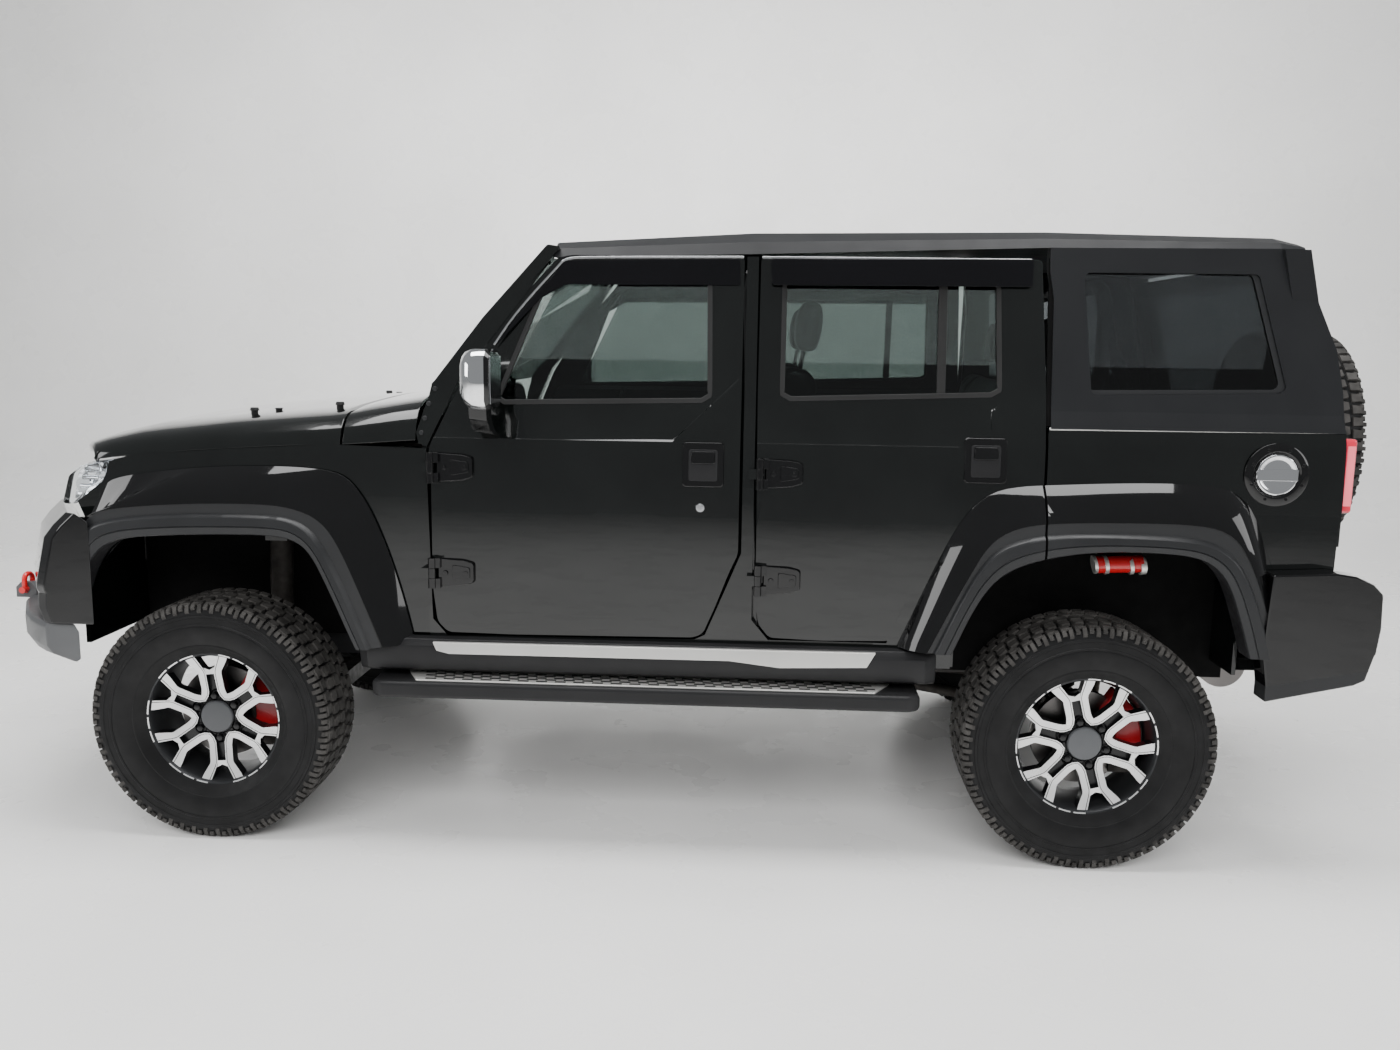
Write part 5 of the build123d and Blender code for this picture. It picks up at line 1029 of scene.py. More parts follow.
    def _hinge(self, word: str, x: float, z: float, index: int) -> None:
        """An outside hinge: a tapered leaf with two bolts and its knuckles."""
        leaf = [(x - 132, z - 30), (x - 132, z + 34), (x - 96, z + 44), (x - 14, z + 46), (x - 14, z - 46),
                (x - 96, z - 42)]
        bm = self.skin.block(leaf, -2, 14, radius=9, taper=5)
        rib = [(x - 120, z - 16), (x - 120, z + 20), (x - 60, z + 28), (x - 60, z - 26)]
        join(bm, self.skin.block(rib, 8, 18, radius=7, taper=4))
        for bolt in (x - 104, x - 40):
            join(bm, self._bolt(bolt, z, 16))
        for low, high in ((z - 47, z - 16.5), (z + 16.5, z + 47)):
            drum(bm, spot(x, 892, low), spot(x, 892, high), 0.0125, 28)
            slab(bm, (x - 26, 866, low), (x, 896, high))
        on_both(f"hinge_{word}_{index}_leaf", f"door_{word}_{{side}}", "plastic_black", (Finishes.MOULDING,),
                bm, bevel=1.8)
        fixed = bmesh.new()
        drum(fixed, spot(x, 892, z - 15.6), spot(x, 892, z + 15.6), 0.0123, 28)
        slab(fixed, (x + 2, 880, z - 15.6), (x + 32, 897, z + 15.6))
        slab(fixed, (x + 20, 864, z - 15.6), (x + 32, 890, z + 15.6))
        on_both(f"hinge_{word}_{index}_fixed", "body", "plastic_black", (Finishes.MOULDING,), fixed,
                bevel=1.5)

    def _bolt(self, x: float, z: float, out: float) -> Mesh:
        """A tapered bolt head with a hexagon on it."""
        bm = bmesh.new()
        base = self.skin.width(z)
        drum(bm, spot(x, base + out - 6, z), spot(x, base + out + 4, z), 0.009, 20, 0.0075)
        drum(bm, spot(x, base + out + 3, z), spot(x, base + out + 4.4, z), 0.004, 6)
        return bm


@dataclass
class Flares:
    """The wide arch flares: gloss shoulder, satin lip of two strips and the flange behind it.

    Runs are (x, z) in millimetres.
    """

    skin: SideSkin
    front_top: Run = (
        (1700, 1105), (1678, 1139), (1553, 1163), (1337, 1186), (1122, 1190), (1000, 1183), (931, 1166),
        (888, 1120), (852, 1062), (807, 956), (763, 819), (729, 681), (722, 640),
    )
    front_gloss: Run = (
        (1858, 718), (1836, 822), (1774, 982), (1739, 1015), (1702, 1042), (1594, 1062), (1380, 1077),
        (1168, 1080), (1077, 1070), (1008, 1046), (960, 1004), (914, 918), (850, 759), (806, 640),
    )
    front_trim: Run = (
        (1840, 700), (1810, 795), (1765, 914), (1731, 978), (1684, 1008), (1569, 1029), (1377, 1040),
        (1165, 1040), (1088, 1034), (1030, 1006), (984, 947), (936, 847), (870, 687), (848, 632),
    )
    front_open: Run = (
        (1782, 695), (1756, 797), (1721, 879), (1675, 936), (1610, 965), (1487, 976), (1309, 983),
        (1133, 984), (1063, 970), (1015, 930), (963, 817), (905, 678), (884, 632),
    )
    rear_top: Run = (
        (-785, 668), (-826, 768), (-885, 909), (-944, 1036), (-997, 1112), (-1058, 1158), (-1138, 1173),
        (-1197, 1177), (-1460, 1190), (-1675, 1190), (-1762, 1172), (-1818, 1118), (-1862, 1014),
        (-1880, 900), (-1885, 785),
    )
    rear_gloss: Run = (
        (-868, 668), (-925, 790), (-984, 909), (-1035, 1005), (-1106, 1054), (-1208, 1073), (-1447, 1080),
        (-1667, 1077), (-1750, 1044), (-1803, 961), (-1852, 840), (-1888, 681),
    )
    rear_trim: Run = (
        (-890, 668), (-968, 848), (-1024, 946), (-1083, 999), (-1199, 1030), (-1361, 1039), (-1574, 1034),
        (-1676, 1021), (-1752, 978), (-1800, 899), (-1845, 790), (-1876, 681),
    )
    rear_open: Run = (
        (-940, 668), (-996, 802), (-1048, 887), (-1112, 936), (-1220, 971), (-1364, 992), (-1534, 992),
        (-1644, 981), (-1706, 946), (-1744, 889), (-1777, 798), (-1813, 681),
    )
    split: float = -1201.5
    steps: int = 60

    def build(self) -> None:
        """Make the front flares, and the rear ones in their body and door parts."""
        front = self._shell(self.front_top, self.front_gloss, self.front_trim, self.front_open)
        on_both("flare_front", "body", "flare_black", (Finishes.MOULDING, Finishes.TRIM, Finishes.FRAME),
                front, ["flares_front"], bevel=1.2, crisp=24)
        for word, sign, node, body, gap in (
            ("rear", -1, "flares_rear", "body", -3.5),
            ("door", 1, "flare_door_{side}", "door_rear_{side}", 3.5),
        ):
            part = self._shell(self.rear_top, self.rear_gloss, self.rear_trim, self.rear_open)
            place = spot(self.split + gap, 0, 0)
            cut(part, place, (-sign, 0, 0), clear_outer=True)
            open_edges = [e for e in part.edges if e.is_boundary]
            rim = [e for e in open_edges if all(abs(v.co.x - place.x) < 1e-5 for v in e.verts)]
            bmesh.ops.holes_fill(part, edges=rim, sides=0)
            on_both(f"flare_{word}", body, "flare_black", (Finishes.MOULDING, Finishes.TRIM, Finishes.FRAME),
                    part, [node], bevel=1.2, crisp=24)

    def _shell(self, top: Sequence[Point], gloss: Sequence[Point], trim: Sequence[Point],
               hole: Sequence[Point]) -> Mesh:
        """The flare's closed shell, bridged between its runs.

        Args:
            top: Where it meets the body.
            gloss: Edge of the gloss shoulder.
            trim: Outer edge of the satin lip.
            hole: Edge of the opening.

        Returns:
            A mesh with materials 0 gloss, 1 satin, 2 inside.
        """
        bm = bmesh.new()
        runs = [resampled(smoothed(run, 2), self.steps) for run in (top, gloss, trim, hole)]
        rows = (
            (0, 0, 868), (0, 0, 874), (0, 0.35, 912), (0, 0.7, 934), (0, 0.93, 943), (1, 0, 944), (1, 0, 941),
            (1, 0.8, 940), (2, 0, 952), (2, 0.08, 955), (2, 0.5, 957), (2, 0.55, 953.5), (2, 0.6, 956.5),
            (2, 0.95, 954), (3, 0, 948), (3, 0, 872),
        )
        wires = []
        for index, share, y in rows:
            run = self._between(runs[index], runs[min(index + 1, 3)], share)
            verts = [bm.verts.new(spot(x, y, z)) for x, z in run]
            wires.append([bm.edges.new(pair) for pair in zip(verts, verts[1:])])
        for index, (a, b) in enumerate(zip(wires, wires[1:])):
            made = bmesh.ops.bridge_loops(bm, edges=a + b)["faces"]
            for face in made:
                face.material_index = 0 if index < 5 else (2 if index >= len(rows) - 2 else 1)
        back = bmesh.ops.bridge_loops(bm, edges=wires[-1] + wires[0])["faces"]
        for face in back:
            face.material_index = 2
        rims = [e for e in bm.edges if e.is_boundary]
        bmesh.ops.holes_fill(bm, edges=rims, sides=0)
        outward(bm)
        return bm

    def _between(self, a: Sequence[Point], b: Sequence[Point], share: float) -> list[Point]:
        """A run between two others."""
        return [tuple(p + (q - p) * share for p, q in zip(one, two)) for one, two in zip(a, b)]


@dataclass
class Sides:
    """The fixed sides: sills, pillars, quarters, hardtop walls, filler, steps and covers.

    Sizes are in millimetres.
    """

    skin: SideSkin
    window: Run = ((-1281, 1831), (-1812, 1829), (-1912, 1461), (-1300, 1446))
    glass: Run = ((-1297, 1815), (-1797, 1815), (-1888, 1471), (-1318, 1461))

    def build(self) -> None:
        """Make every fixed piece of the sides."""
        self._quarter()
        self._liners()
        self._pillars()
        self._hardtop_wall()
        self._filler()
        self._step()
        self._cover()

    def _quarter(self) -> None:
        """The painted quarter between the rear door, the hardtop and the bumper."""
        outline = [(-1211, 1339), (-2051, 1345), (-2074, 1120), (-2070, 945), (-1895, 930), (-1862, 1010),
                   (-1815, 1110), (-1760, 1150), (-1675, 1160), (-1211, 1150)]
        bm = self.skin.panel(outline, radius=8)
        on_both("quarter_panel", "body", "body_black", (Finishes.PAINT,), bm, wall=14, bevel=2, crisp=26)
        bright = self.skin.ribbon([(-1214, 1345), (-2050, 1349)], 8, 2, thick=7)
        on_both("quarter_top_line", "body", "chrome_trim", (Finishes.BRUSHED,), bright, bevel=1)

    def _liners(self) -> None:
        """Painted shade: matt black sheets on the inner walls of the wheel houses, and a dark strip in the
        gap before the hardtop, where there is only shade.
        """
        bm = bmesh.new()
        # Painted shade: black slabs over the inner wheel-house walls, which lie in shade.
        slab(bm, (1040, 471, 560), (1790, 475, 1010))
        slab(bm, (-1850, 653, 540), (-960, 657, 1000))
        on_both("arch_liner", "body", "plastic_black", (Finishes.SHADE,), bm)
        # Painted shade: a dark strip for the shade in the gap between the rear door and the hardtop.
        seal = self.skin.ribbon([(-1211, 1352), (-1211, 1480), (-1211, 1600), (-1211, 1850)], 13, -9,
                                thick=12)
        on_both("hardtop_seal", "body", "plastic_black", (Finishes.SHADE,), seal)

    def _pillars(self) -> None:
        """The sill and the pillar faces that show between the doors."""
        outline = [(760, 600), (760, 664), (-905, 664), (-905, 600)]
        bm = self.skin.panel(outline, radius=0, inset=6)
        on_both("sill_face", "body", "body_black", (Finishes.PAINT,), bm, wall=20, bevel=2)
        post = self.skin.panel([(-280, 680), (-280, 1850), (-355, 1850), (-355, 680)], radius=0, inset=26)
        on_both("centre_post", "body", "body_black", (Finishes.PAINT,), post, wall=18)
        outline = [(700, 1272), (706, 1300), (659, 1452), (508, 1652), (312, 1876), (272, 1870), (289, 1850),
                   (307, 1822), (382, 1737), (510, 1572), (582, 1458), (676, 1256)]
        pillar = self.skin.panel(outline, radius=6, inset=1)
        on_both("screen_pillar", "body", "body_black", (Finishes.PAINT,), pillar, wall=30, bevel=2.5,
                crisp=26)
        bolts = bmesh.new()
        for x, z in ((689, 1300), (680, 1344), (670, 1388), (652, 1434)):
            out = self.skin.width(z)
            drum(bolts, spot(x, out - 5, z), spot(x, out + 5, z), 0.009, 20, 0.0065)
        on_both("pillar_bolts", "body", "plastic_black", (Finishes.TRIM,), bolts, bevel=1)

    def _hardtop_wall(self) -> None:
        """The satin wall round the quarter window, with its recessed frame."""
        outline = [(-1219, 1351), (-1219, 1750), (-1206, 1880), (-1950, 1884), (-1985, 1738), (-2046, 1589),
                   (-2068, 1461), (-2076, 1354)]
        bm = self.skin.panel(outline, [(self.window, 34)], radius=10)
        on_both("hardtop_wall", "body", "hardtop", (Finishes.SATIN,), bm, wall=30, bevel=3, crisp=26)
        frame = self.skin.panel(self.window, [(self.glass, 26)], radius=34, inset=7)
        on_both("quarter_window_frame", "body", "plastic_black", (Finishes.TRIM,), frame, wall=14, bevel=2)

    def _filler(self) -> None:
        """The round fuel filler: bolted ring, bright disc and its bar."""
        x, z = -1879, 1222
        bm = turned(((0, 0), (94, 0), (94, 6), (86, 10), (70, 10.5), (64, 6), (0, 6)))
        for index in range(8):
            turn = Matrix.Rotation(math.tau * (index + 0.5) / 8, 4, "Z")
            centre = turn @ Vector((0.078, 0, 0))
            drum(bm, centre + Vector((0, 0, 0.008)), centre + Vector((0, 0, 0.0125)), 0.005, 12)
        join(bm, turned(((0, 5), (61, 5), (61, 10), (57, 12.5), (50, 11), (46, 8), (0, 8))), 1)
        bar = bmesh.new()
        made = bmesh.ops.create_cube(bar, size=1)["verts"]
        bmesh.ops.scale(bar, vec=(0.118, 0.034, 0.007), verts=made)
        bmesh.ops.translate(bar, vec=(0, 0, 0.0105), verts=made)
        join(bm, bar, 1)
        quarter = Matrix.Rotation(math.radians(-90), 4, "X")
        place = Matrix.Translation(spot(x, self.skin.width(z), z)) @ quarter
        bmesh.ops.transform(bm, matrix=place, verts=bm.verts[:])
        Piece("fuel_filler_detail", "body", "chrome_trim", (Finishes.MOULDING, Finishes.CHROME),
              ("fuel_filler",), bevel=1.2).finish(bm)

    def _step(self) -> None:
        """The side step: a black rounded board with a bright tread plate of staggered dashes."""
        outline = ((842, 760), (842, 938), (812, 960), (-822, 960), (-854, 938), (-854, 760))
        bm = plate([(x, y, 484) for x, y in outline], Vector((0, 0, 0.052)))
        on_both("step_board", "body", "step_metal", (Finishes.GRAINED,), bm, ["side_steps"], bevel=14,
                segments=4, crisp=30)
        tread = plate([(752, 838, 536), (700, 942, 536), (-716, 942, 536), (-770, 838, 536)],
                      Vector((0, 0, 0.0045)))
        for row in range(5):
            y = 856 + row * 18
            for index in range(24):
                x = 690 - row * 4 - index * 58 - (29 if row % 2 else 0)
                dash = bmesh.new()
                slab(dash, (x - 34, y - 4.5, 539), (x, y + 4.5, 542.2))
                join(tread, dash, 1)
        on_both("step_tread", "body", "step_metal", (Finishes.BRUSHED, Finishes.RUBBER), tread, bevel=0.8)
        for index, x in enumerate((-600, 0, 600)):
            arm = bmesh.new()
            slab(arm, (x - 26, 740, 488), (x + 26, 780, 520))
            on_both(f"step_arm_{index}", "body", "frame_black", (Finishes.FRAME,), arm, bevel=3)

    def _cover(self) -> None:
        """The moulded sill cover with its steel garnish."""
        wall = 866
        section = ((wall, 664), (900, 660), (918, 640), (921, 600), (908, 565), (880, 553), (wall, 556))
        bm = lofted([[(x, wall + (y - wall) * squeeze, z) for y, z in section]
                     for x, squeeze in ((890, 0.55), (860, 1), (-868, 1), (-903, 0.55))])
        on_both("sill_moulding", "body", "plastic_black", (Finishes.GRAINED,), bm, ["sill_covers"], bevel=5,
                segments=3, crisp=30)
        outline = ((653, 654), (-717, 657), (-690, 612), (-425, 604), (-270, 621), (600, 619), (640, 628))
        steel = plate([(x, 925.5 - (z - 600) * 0.14, z) for x, z in outline], Vector((0, -0.02, 0)))
        on_both("sill_garnish", "body", "steel_brushed", (Finishes.BRUSHED,), steel, bevel=2)


def lofted(stations: Sequence[Sequence[Place]], closed: bool = True) -> Mesh:
    """A skin bridged through outlines given in millimetres, capped at its ends where they are rings."""
    bm = bmesh.new()
    wires = []
    for places in stations:
        verts = [bm.verts.new(spot(*place)) for place in places]
        pairs = list(zip(verts, verts[1:])) + ([(verts[-1], verts[0])] if closed else [])
        wires.append([bm.edges.new(pair) for pair in pairs])
    for a, b in zip(wires, wires[1:]):
        bmesh.ops.bridge_loops(bm, edges=a + b)
    if closed:
        bmesh.ops.holes_fill(bm, edges=[e for e in bm.edges if e.is_boundary], sides=0)
    outward(bm)
    return bm


def plate(outline: Sequence[Place], along: Vector) -> Mesh:
    """A flat outline in millimetres carried along a vector in metres."""
    bm = bmesh.new()
    extruded(bm, bm.faces.new([bm.verts.new(spot(*place)) for place in outline]), along)
    bmesh.ops.recalc_face_normals(bm, faces=bm.faces[:])
    return bm


@dataclass
class Hood:
    """The bonnet, the fixed panel behind it, the wipers and the rubber buffers. Sizes in millimetres."""

    edge: Run = (
        (706, 1403), (980, 1358), (1310, 1331), (1607, 1297), (1735, 1268), (1860, 1226), (2020, 1180),
    )
    low: Run = (
        (706, 1286), (939, 1268), (1124, 1261), (1411, 1241), (1644, 1219), (1727, 1209), (1860, 1188),
        (2020, 1150),
    )
    nose: Run = ((0, 2006), (390, 1984), (580, 1902), (700, 1836), (800, 1768), (862, 1722))
    across: tuple[tuple[float, float, float], ...] = (
        (0, 0, 24), (150, 0, 23), (300, 0, 20), (470, 0, 14), (620, 0, 8), (712, 0, 2), (748, 0, -5),
        (780, 0.1, -3), (820, 0.32, 0), (846, 0.62, 1), (860, 0.94, 0), (863, 1, -9),
    )

    def build(self) -> None:
        """Make every piece."""
        bonnet = self._skin(945, None, 15)
        Piece("bonnet_skin", "bonnet", "body_black", (Finishes.PAINT,), ("bonnet",), wall=9, bevel=2,
              crisp=42).finish(bonnet)
        cowl = self._skin(708, 937, 4)
        Piece("cowl_skin", "body", "body_black", (Finishes.PAINT,), ("cowl_panel",), wall=9, bevel=2,
              crisp=42).finish(cowl)
        arms = bmesh.new()
        for y in (-600, 600):
            slab(arms, (934, y - 9, 1345), (985, y + 9, 1357))
        Piece("bonnet_hinge_arms", "bonnet", "body_black", (Finishes.FRAME,), (), bevel=2).finish(arms)
        for index, (x, y) in enumerate(((1285, 690), (999, 700), (1225, 640))):
            stud = bmesh.new()
            z = level(self.edge, x) + 3
            drum(stud, spot(x, y, z - 4), spot(x, y, z + 12), 0.011, 24)
            drum(stud, spot(x, y, z + 12), spot(x, y, z + (22 if index < 2 else 14)), 0.015, 24, 0.012)
            on_both(f"bonnet_buffer_{index}", "bonnet", "plastic_black", (Finishes.RUBBER,), stud, bevel=1)
        self._wipers()

    def _skin(self, rear: float, front: float | None, steps: int) -> Mesh:
        """A crowned skin from rear to front, or to the turned-down nose where front is None.

        It dips at the shut line, so that the bonnet can turn.
        """
        shut = 1356
        rows = []
        ys = [-y for y, _, _ in reversed(self.across[1:])] + [y for y, _, _ in self.across]
        marks = {y: (share, lift) for y, share, lift in self.across}
        shares = [step / steps for step in range(steps + 1)]
        shares.insert(-1 if front else 1, 0.905 if front else 0.0132)
        for part in shares:
            row = []
            for y in ys:
                end = front or level(self.nose, abs(y))
                x = rear + (end - rear) * part
                share, lift = marks[abs(y)]
                z = level(self.edge, x) * (1 - share) + level(self.low, x) * share + lift
                row.append((x, y, min(z, shut) if part == (1 if front else 0) else z))
            rows.append(row)
        if front is None:
            last = rows[-1]
            rows[-1] = [(x - 6, y, z) for x, y, z in last]
            rows += [[(x + 4, y * 0.999, z - 12) for x, y, z in last],
                     [(x + 2, y * 0.998, z - 30 * (abs(y) < 855)) for x, y, z in last]]
        return lofted(rows, closed=False)

    def _wipers(self) -> None:
        """Two parked wipers at the foot of the screen."""
        bm = bmesh.new()
        for y in (-470, 90):
            foot, tip = spot(690, y, 1418), spot(640, y + 330, 1462)
            drum(bm, foot - Vector((0, 0, 0.02)), foot + Vector((0, 0, 0.012)), 0.014, 20)
            drum(bm, foot, tip, 0.006, 10, 0.004)
            drum(bm, spot(650, y + 60, 1456), spot(632, y + 560, 1470), 0.006, 8, 0.004)
        Piece("wipers", "body", "plastic_black", (Finishes.TRIM,), (), bevel=0.6).finish(bm)


@dataclass
class Ends:
    """The nose and the tail: bumpers, bar, lamps and mirrors. Sizes in millimetres."""

    skin: SideSkin
    bumper_plan: Run = (
        (958, 1856), (938, 1893), (885, 1926), (835, 1960), (785, 1992), (651, 2080), (450, 2138),
        (0, 2152),
    )
    bumper_form: Run = (
        (-150, 0.92), (-108, 1), (-62, 0.88), (-30, 0.77), (-12, 0.55), (4, 0.36), (6, 0.3), (-2, 0.27),
        (2, 0.14), (-14, 0), (-150, 0),
    )
    bar_plan: Run = ((938, 1878), (905, 1925), (860, 1975), (776, 2048), (603, 2156), (402, 2210), (0, 2226))
    bar_form: Run = (
        (-95, 687), (-12, 689), (0, 674), (-2, 612), (-20, 588), (-95, 562), (-110, 572), (-110, 660),
    )
    tail_form: Run = (
        (-1862, 935), (-2044, 944), (-2100, 936), (-2150, 914), (-2180, 884), (-2184, 780), (-2176, 706),
        (-2172, 698), (-2152, 624), (-2120, 608), (-1866, 550), (-1866, 600), (-1850, 700),
    )

    def build(self) -> None:
        """Make every piece."""

        def bumper(depth: float, share: float, y: float) -> Point:
            """A point of the bumper's profile, which is lower in the middle."""
            rise = 352 if y > 640 else 200 + 152 * max(0, (y - 450) / 190)
            return depth, 690 + share * rise

        self._band("front_bumper_skin", self.bumper_plan, bumper, self.bumper_form, "plastic_black",
                   (Finishes.MOULDING, Finishes.GRAINED), "front_bumper")
        self._band("steel_bar_skin", self.bar_plan, lambda depth, z, y: (depth, z), self.bar_form,
                   "steel_grey", (Finishes.STEEL_GREY,), "steel_bar")
        self._bar_ears()
        self._headlamp()
        self._rear_bumper()
        self._tail_lamp()
        self._mirror()

    def _band(self, name: str, plan: Sequence[Point], form: Callable[[float, float, float], Point],
              profile: Sequence[Point], slot: str, finishes: Sequence[Finish], node: str) -> None:
        """A profile carried round the nose in plan, both sides in one piece."""
        ys = [(-y, x) for y, x in plan] + [(y, x) for y, x in reversed(plan[:-1])]
        stations = []
        for y, x in ys:
            made = [form(depth, value, abs(y)) for depth, value in profile]
            stations.append([(x + depth, y, z) for depth, z in made])
        bm = lofted(stations)
        parting = spot(0, 0, 788).z
        for face in bm.faces:
            if len(finishes) > 1 and face.calc_center_median().z < parting:
                face.material_index = 1
        Piece(name, "body", slot, finishes, (node,), bevel=5, segments=3, crisp=24).finish(bm)

    def _bar_ears(self) -> None:
        """The two ears that carry the shackles."""
        outline = ((2140, 680), (2214, 680), (2214, 716), (2196, 734), (2160, 734), (2140, 716))
        ear = plate([(x, 536, z) for x, z in outline], Vector((0, 0.028, 0)))
        on_both("shackle_ear", "body", "steel_grey", (Finishes.STEEL_GREY,), ear, bevel=2)

    def _headlamp(self) -> None:
        """The corner lamp: clear cover, and the bright tubes and drums behind it."""
        outline = [(1690, 1196), (1778, 1184), (1822, 1150), (1846, 1052), (1812, 1048), (1786, 1072),
                   (1712, 1130)]
        cover = self.skin.block(outline, -70, -6, radius=10, taper=8)
        on_both("headlamp_cover", "body", "lamp_clear", (Finishes.LENS,), cover, ["headlamps"], bevel=2)
        outline = [(1700, 1190), (1772, 1180), (1806, 1150), (1824, 1066), (1796, 1074), (1722, 1130)]
        back = self.skin.block(outline, -96, -66, radius=6)
        for index in range(4):
            z = 1082 + index * 27
            drum(back, spot(1742 - index * 4, 846 - 26, z), spot(1808 - index * 9, 812, z), 0.0065, 12)
        for x, z in ((1746, 1160), (1784, 1112)):
            drum(back, spot(x, 790, z), spot(x + 6, 812, z), 0.024, 32, 0.028)
        on_both("headlamp_tubes", "body", "lamp_clear", (Finishes.REFLECTOR,), back, bevel=1)

    def _rear_bumper(self) -> None:
        """The wrap-round rear bumper, gloss above and satin below, lower between its ends."""
        side = plate([(x, 872, z) for x, z in self.tail_form], Vector((0, 0.083, 0)))
        back = [p for p in self.tail_form if p[0] < -2090]
        wall = plate([(x, 0, z) for x, z in back] + [(-2100, 0, 606), (-2100, 0, 930)], Vector((0, 0.874, 0)))
        low, up = spot(-1900, 0, 605), Vector((0.19, 0, 1))
        for bm in (side, wall):
            cut(bm, low, up)
            for face in bm.faces:
                face.material_index = int((face.calc_center_median() - low).dot(up) < 0)
        cut(wall, spot(0, 420, 0), (0, 1, 0))
        for vert in wall.verts:
            if vert.co.y < 0.421:
                vert.co.z = min(vert.co.z, spot(0, 0, 850).z)
        on_both("rear_bumper_end", "body", "plastic_black", (Finishes.MOULDING, Finishes.TRIM), side,
                ["rear_bumper"], bevel=16, segments=4, crisp=24)
        on_both("rear_bumper_back", "body", "plastic_black", (Finishes.MOULDING, Finishes.TRIM), wall,
                bevel=5, segments=2, crisp=24)

    def _tail_lamp(self) -> None:
        """The upright tail lamp: black housing, red cover with its lighter tube."""
        house = bmesh.new()
        slab(house, (-2086, 716, 1090), (-2022, 838, 1345))
        on_both("tail_lamp_housing", "body", "plastic_black", (Finishes.MOULDING,), house, bevel=9,
                segments=3, crisp=30)
        lamp = bmesh.new()
        slab(lamp, (-2123, 724, 1106), (-2080, 836, 1329))
        on_both("tail_lamp_cover", "body", "lamp_red", (Finishes.RED_LENS,), lamp, ["tail_lamps"], bevel=10,
                segments=4, crisp=30)
        tube = bmesh.new()
        slab(tube, (-2118, 832, 1128), (-2094, 837.5, 1308))
        on_both("tail_lamp_tube", "body", "lamp_red", (Finishes.PALE_RED,), tube, bevel=2)

    def _mirror(self) -> None:
        """The door mirror: bright cap, black frame, glass and arm."""
        stations, corner = [], 26
        for x, inset in ((427, 7), (440, 0), (478, 0), (500, 8), (514, 22), (519, 42)):
            low_y, high_y, low_z, high_z = 912 + inset, 1086 - inset, 1384 + inset, 1558 - inset
            stations.append([
                (x, low_y + corner, low_z), (x, high_y - corner, low_z), (x, high_y, low_z + corner),
                (x, high_y, high_z - corner), (x, high_y - corner, high_z), (x, low_y + corner, high_z),
                (x, low_y, high_z - corner), (x, low_y, low_z + corner),
            ])
        head = lofted(stations)
        for face in head.faces:
            face.material_index = int(face.calc_center_median().x > spot(455, 0, 0).x)
        glass = bmesh.new()
        slab(glass, (424.5, 930, 1402), (428, 1068, 1540))
        join(head, glass, 2)
        on_both("mirror_head", "door_front_{side}", "chrome_trim",
                (Finishes.MOULDING, Finishes.CHROME, Finishes.REFLECTOR), head, ["mirror_{side}"], bevel=6,
                segments=3, crisp=50)
        path = ((832, 1296, 26), (850, 1300, 50), (900, 1318, 62), (935, 1350, 66), (940, 1388, 68))
        arm = lofted([
            [(452, y, z), (452, y + wide, z), (506, y + wide, z + 6), (506, y, z + 6)] for y, z, wide in path
        ])
        on_both("mirror_arm", "door_front_{side}", "plastic_black", (Finishes.MOULDING,), arm, bevel=9,
                segments=3, crisp=34)


@dataclass
class Brakes:
    """Discs, red callipers and the rear dampers with their reservoirs. Sizes in millimetres."""

    reach: float = 1372.5

    def build(self) -> None:
        """Make the left pieces and their twins."""
        for word, x in (("front", self.reach), ("rear", -self.reach)):
            disc = turned(((0, 8), (60, 8), (78, 4), (80, -13), (150, -13), (150, 11), (70, 11), (0, 11)))
            place = Matrix.Translation(spot(x, 790, 376)) @ Matrix.Rotation(math.radians(-90), 4, "X")
            bmesh.ops.transform(disc, matrix=place, verts=disc.verts[:])
            on_both(f"brake_disc_{word}", f"wheel_{word}_{{side}}", "iron_dark", (Finishes.DISC,), disc,
                    bevel=1)
            ring = [
                (x - math.cos(math.radians(a)) * r, 764, 376 + math.sin(math.radians(a)) * r)
                for r, turns in ((188, range(-14, 59, 12)), (106, range(58, -15, -12)))
                for a in turns
            ]
            # The calliper's darker red is painted shade.
            clamp = plate(ring, Vector((0, 0.06, 0)))
            on_both(f"brake_calliper_{word}", "knuckle_{side}" if word == "front" else "body", "shackle_red",
                    (Finishes.CALLIPER,), clamp, bevel=6, segments=3, crisp=30)
        can = bmesh.new()
        drum(can, spot(-1402, 742, 916), spot(-1548, 742, 922), 0.027, 40)
        for start, end, radius in ((-1398, -1408, 0.029), (-1540, -1558, 0.0285), (-1430, -1442, 0.0295),
                                   (-1506, -1518, 0.0295)):
            made = bmesh.new()
            drum(made, spot(start, 742, 916), spot(end, 742, 918), radius, 40)
            join(can, made, 1)
        bracket = bmesh.new()
        slab(bracket, (-1500, 640, 920), (-1448, 740, 926))
        join(can, bracket, 1)
        on_both("damper_reservoir", "body", "shackle_red", (Finishes.RED, Finishes.BRUSHED), can, bevel=1)
        damper = bmesh.new()
        drum(damper, spot(-1452, 600, 400), spot(-1500, 580, 940), 0.027, 32, 0.027)
        drum(damper, spot(-1446, 602, 350), spot(-1452, 600, 420), 0.012, 20)
        on_both("rear_damper", "body", "iron_dark", (Finishes.DUSTY,), damper, bevel=1)


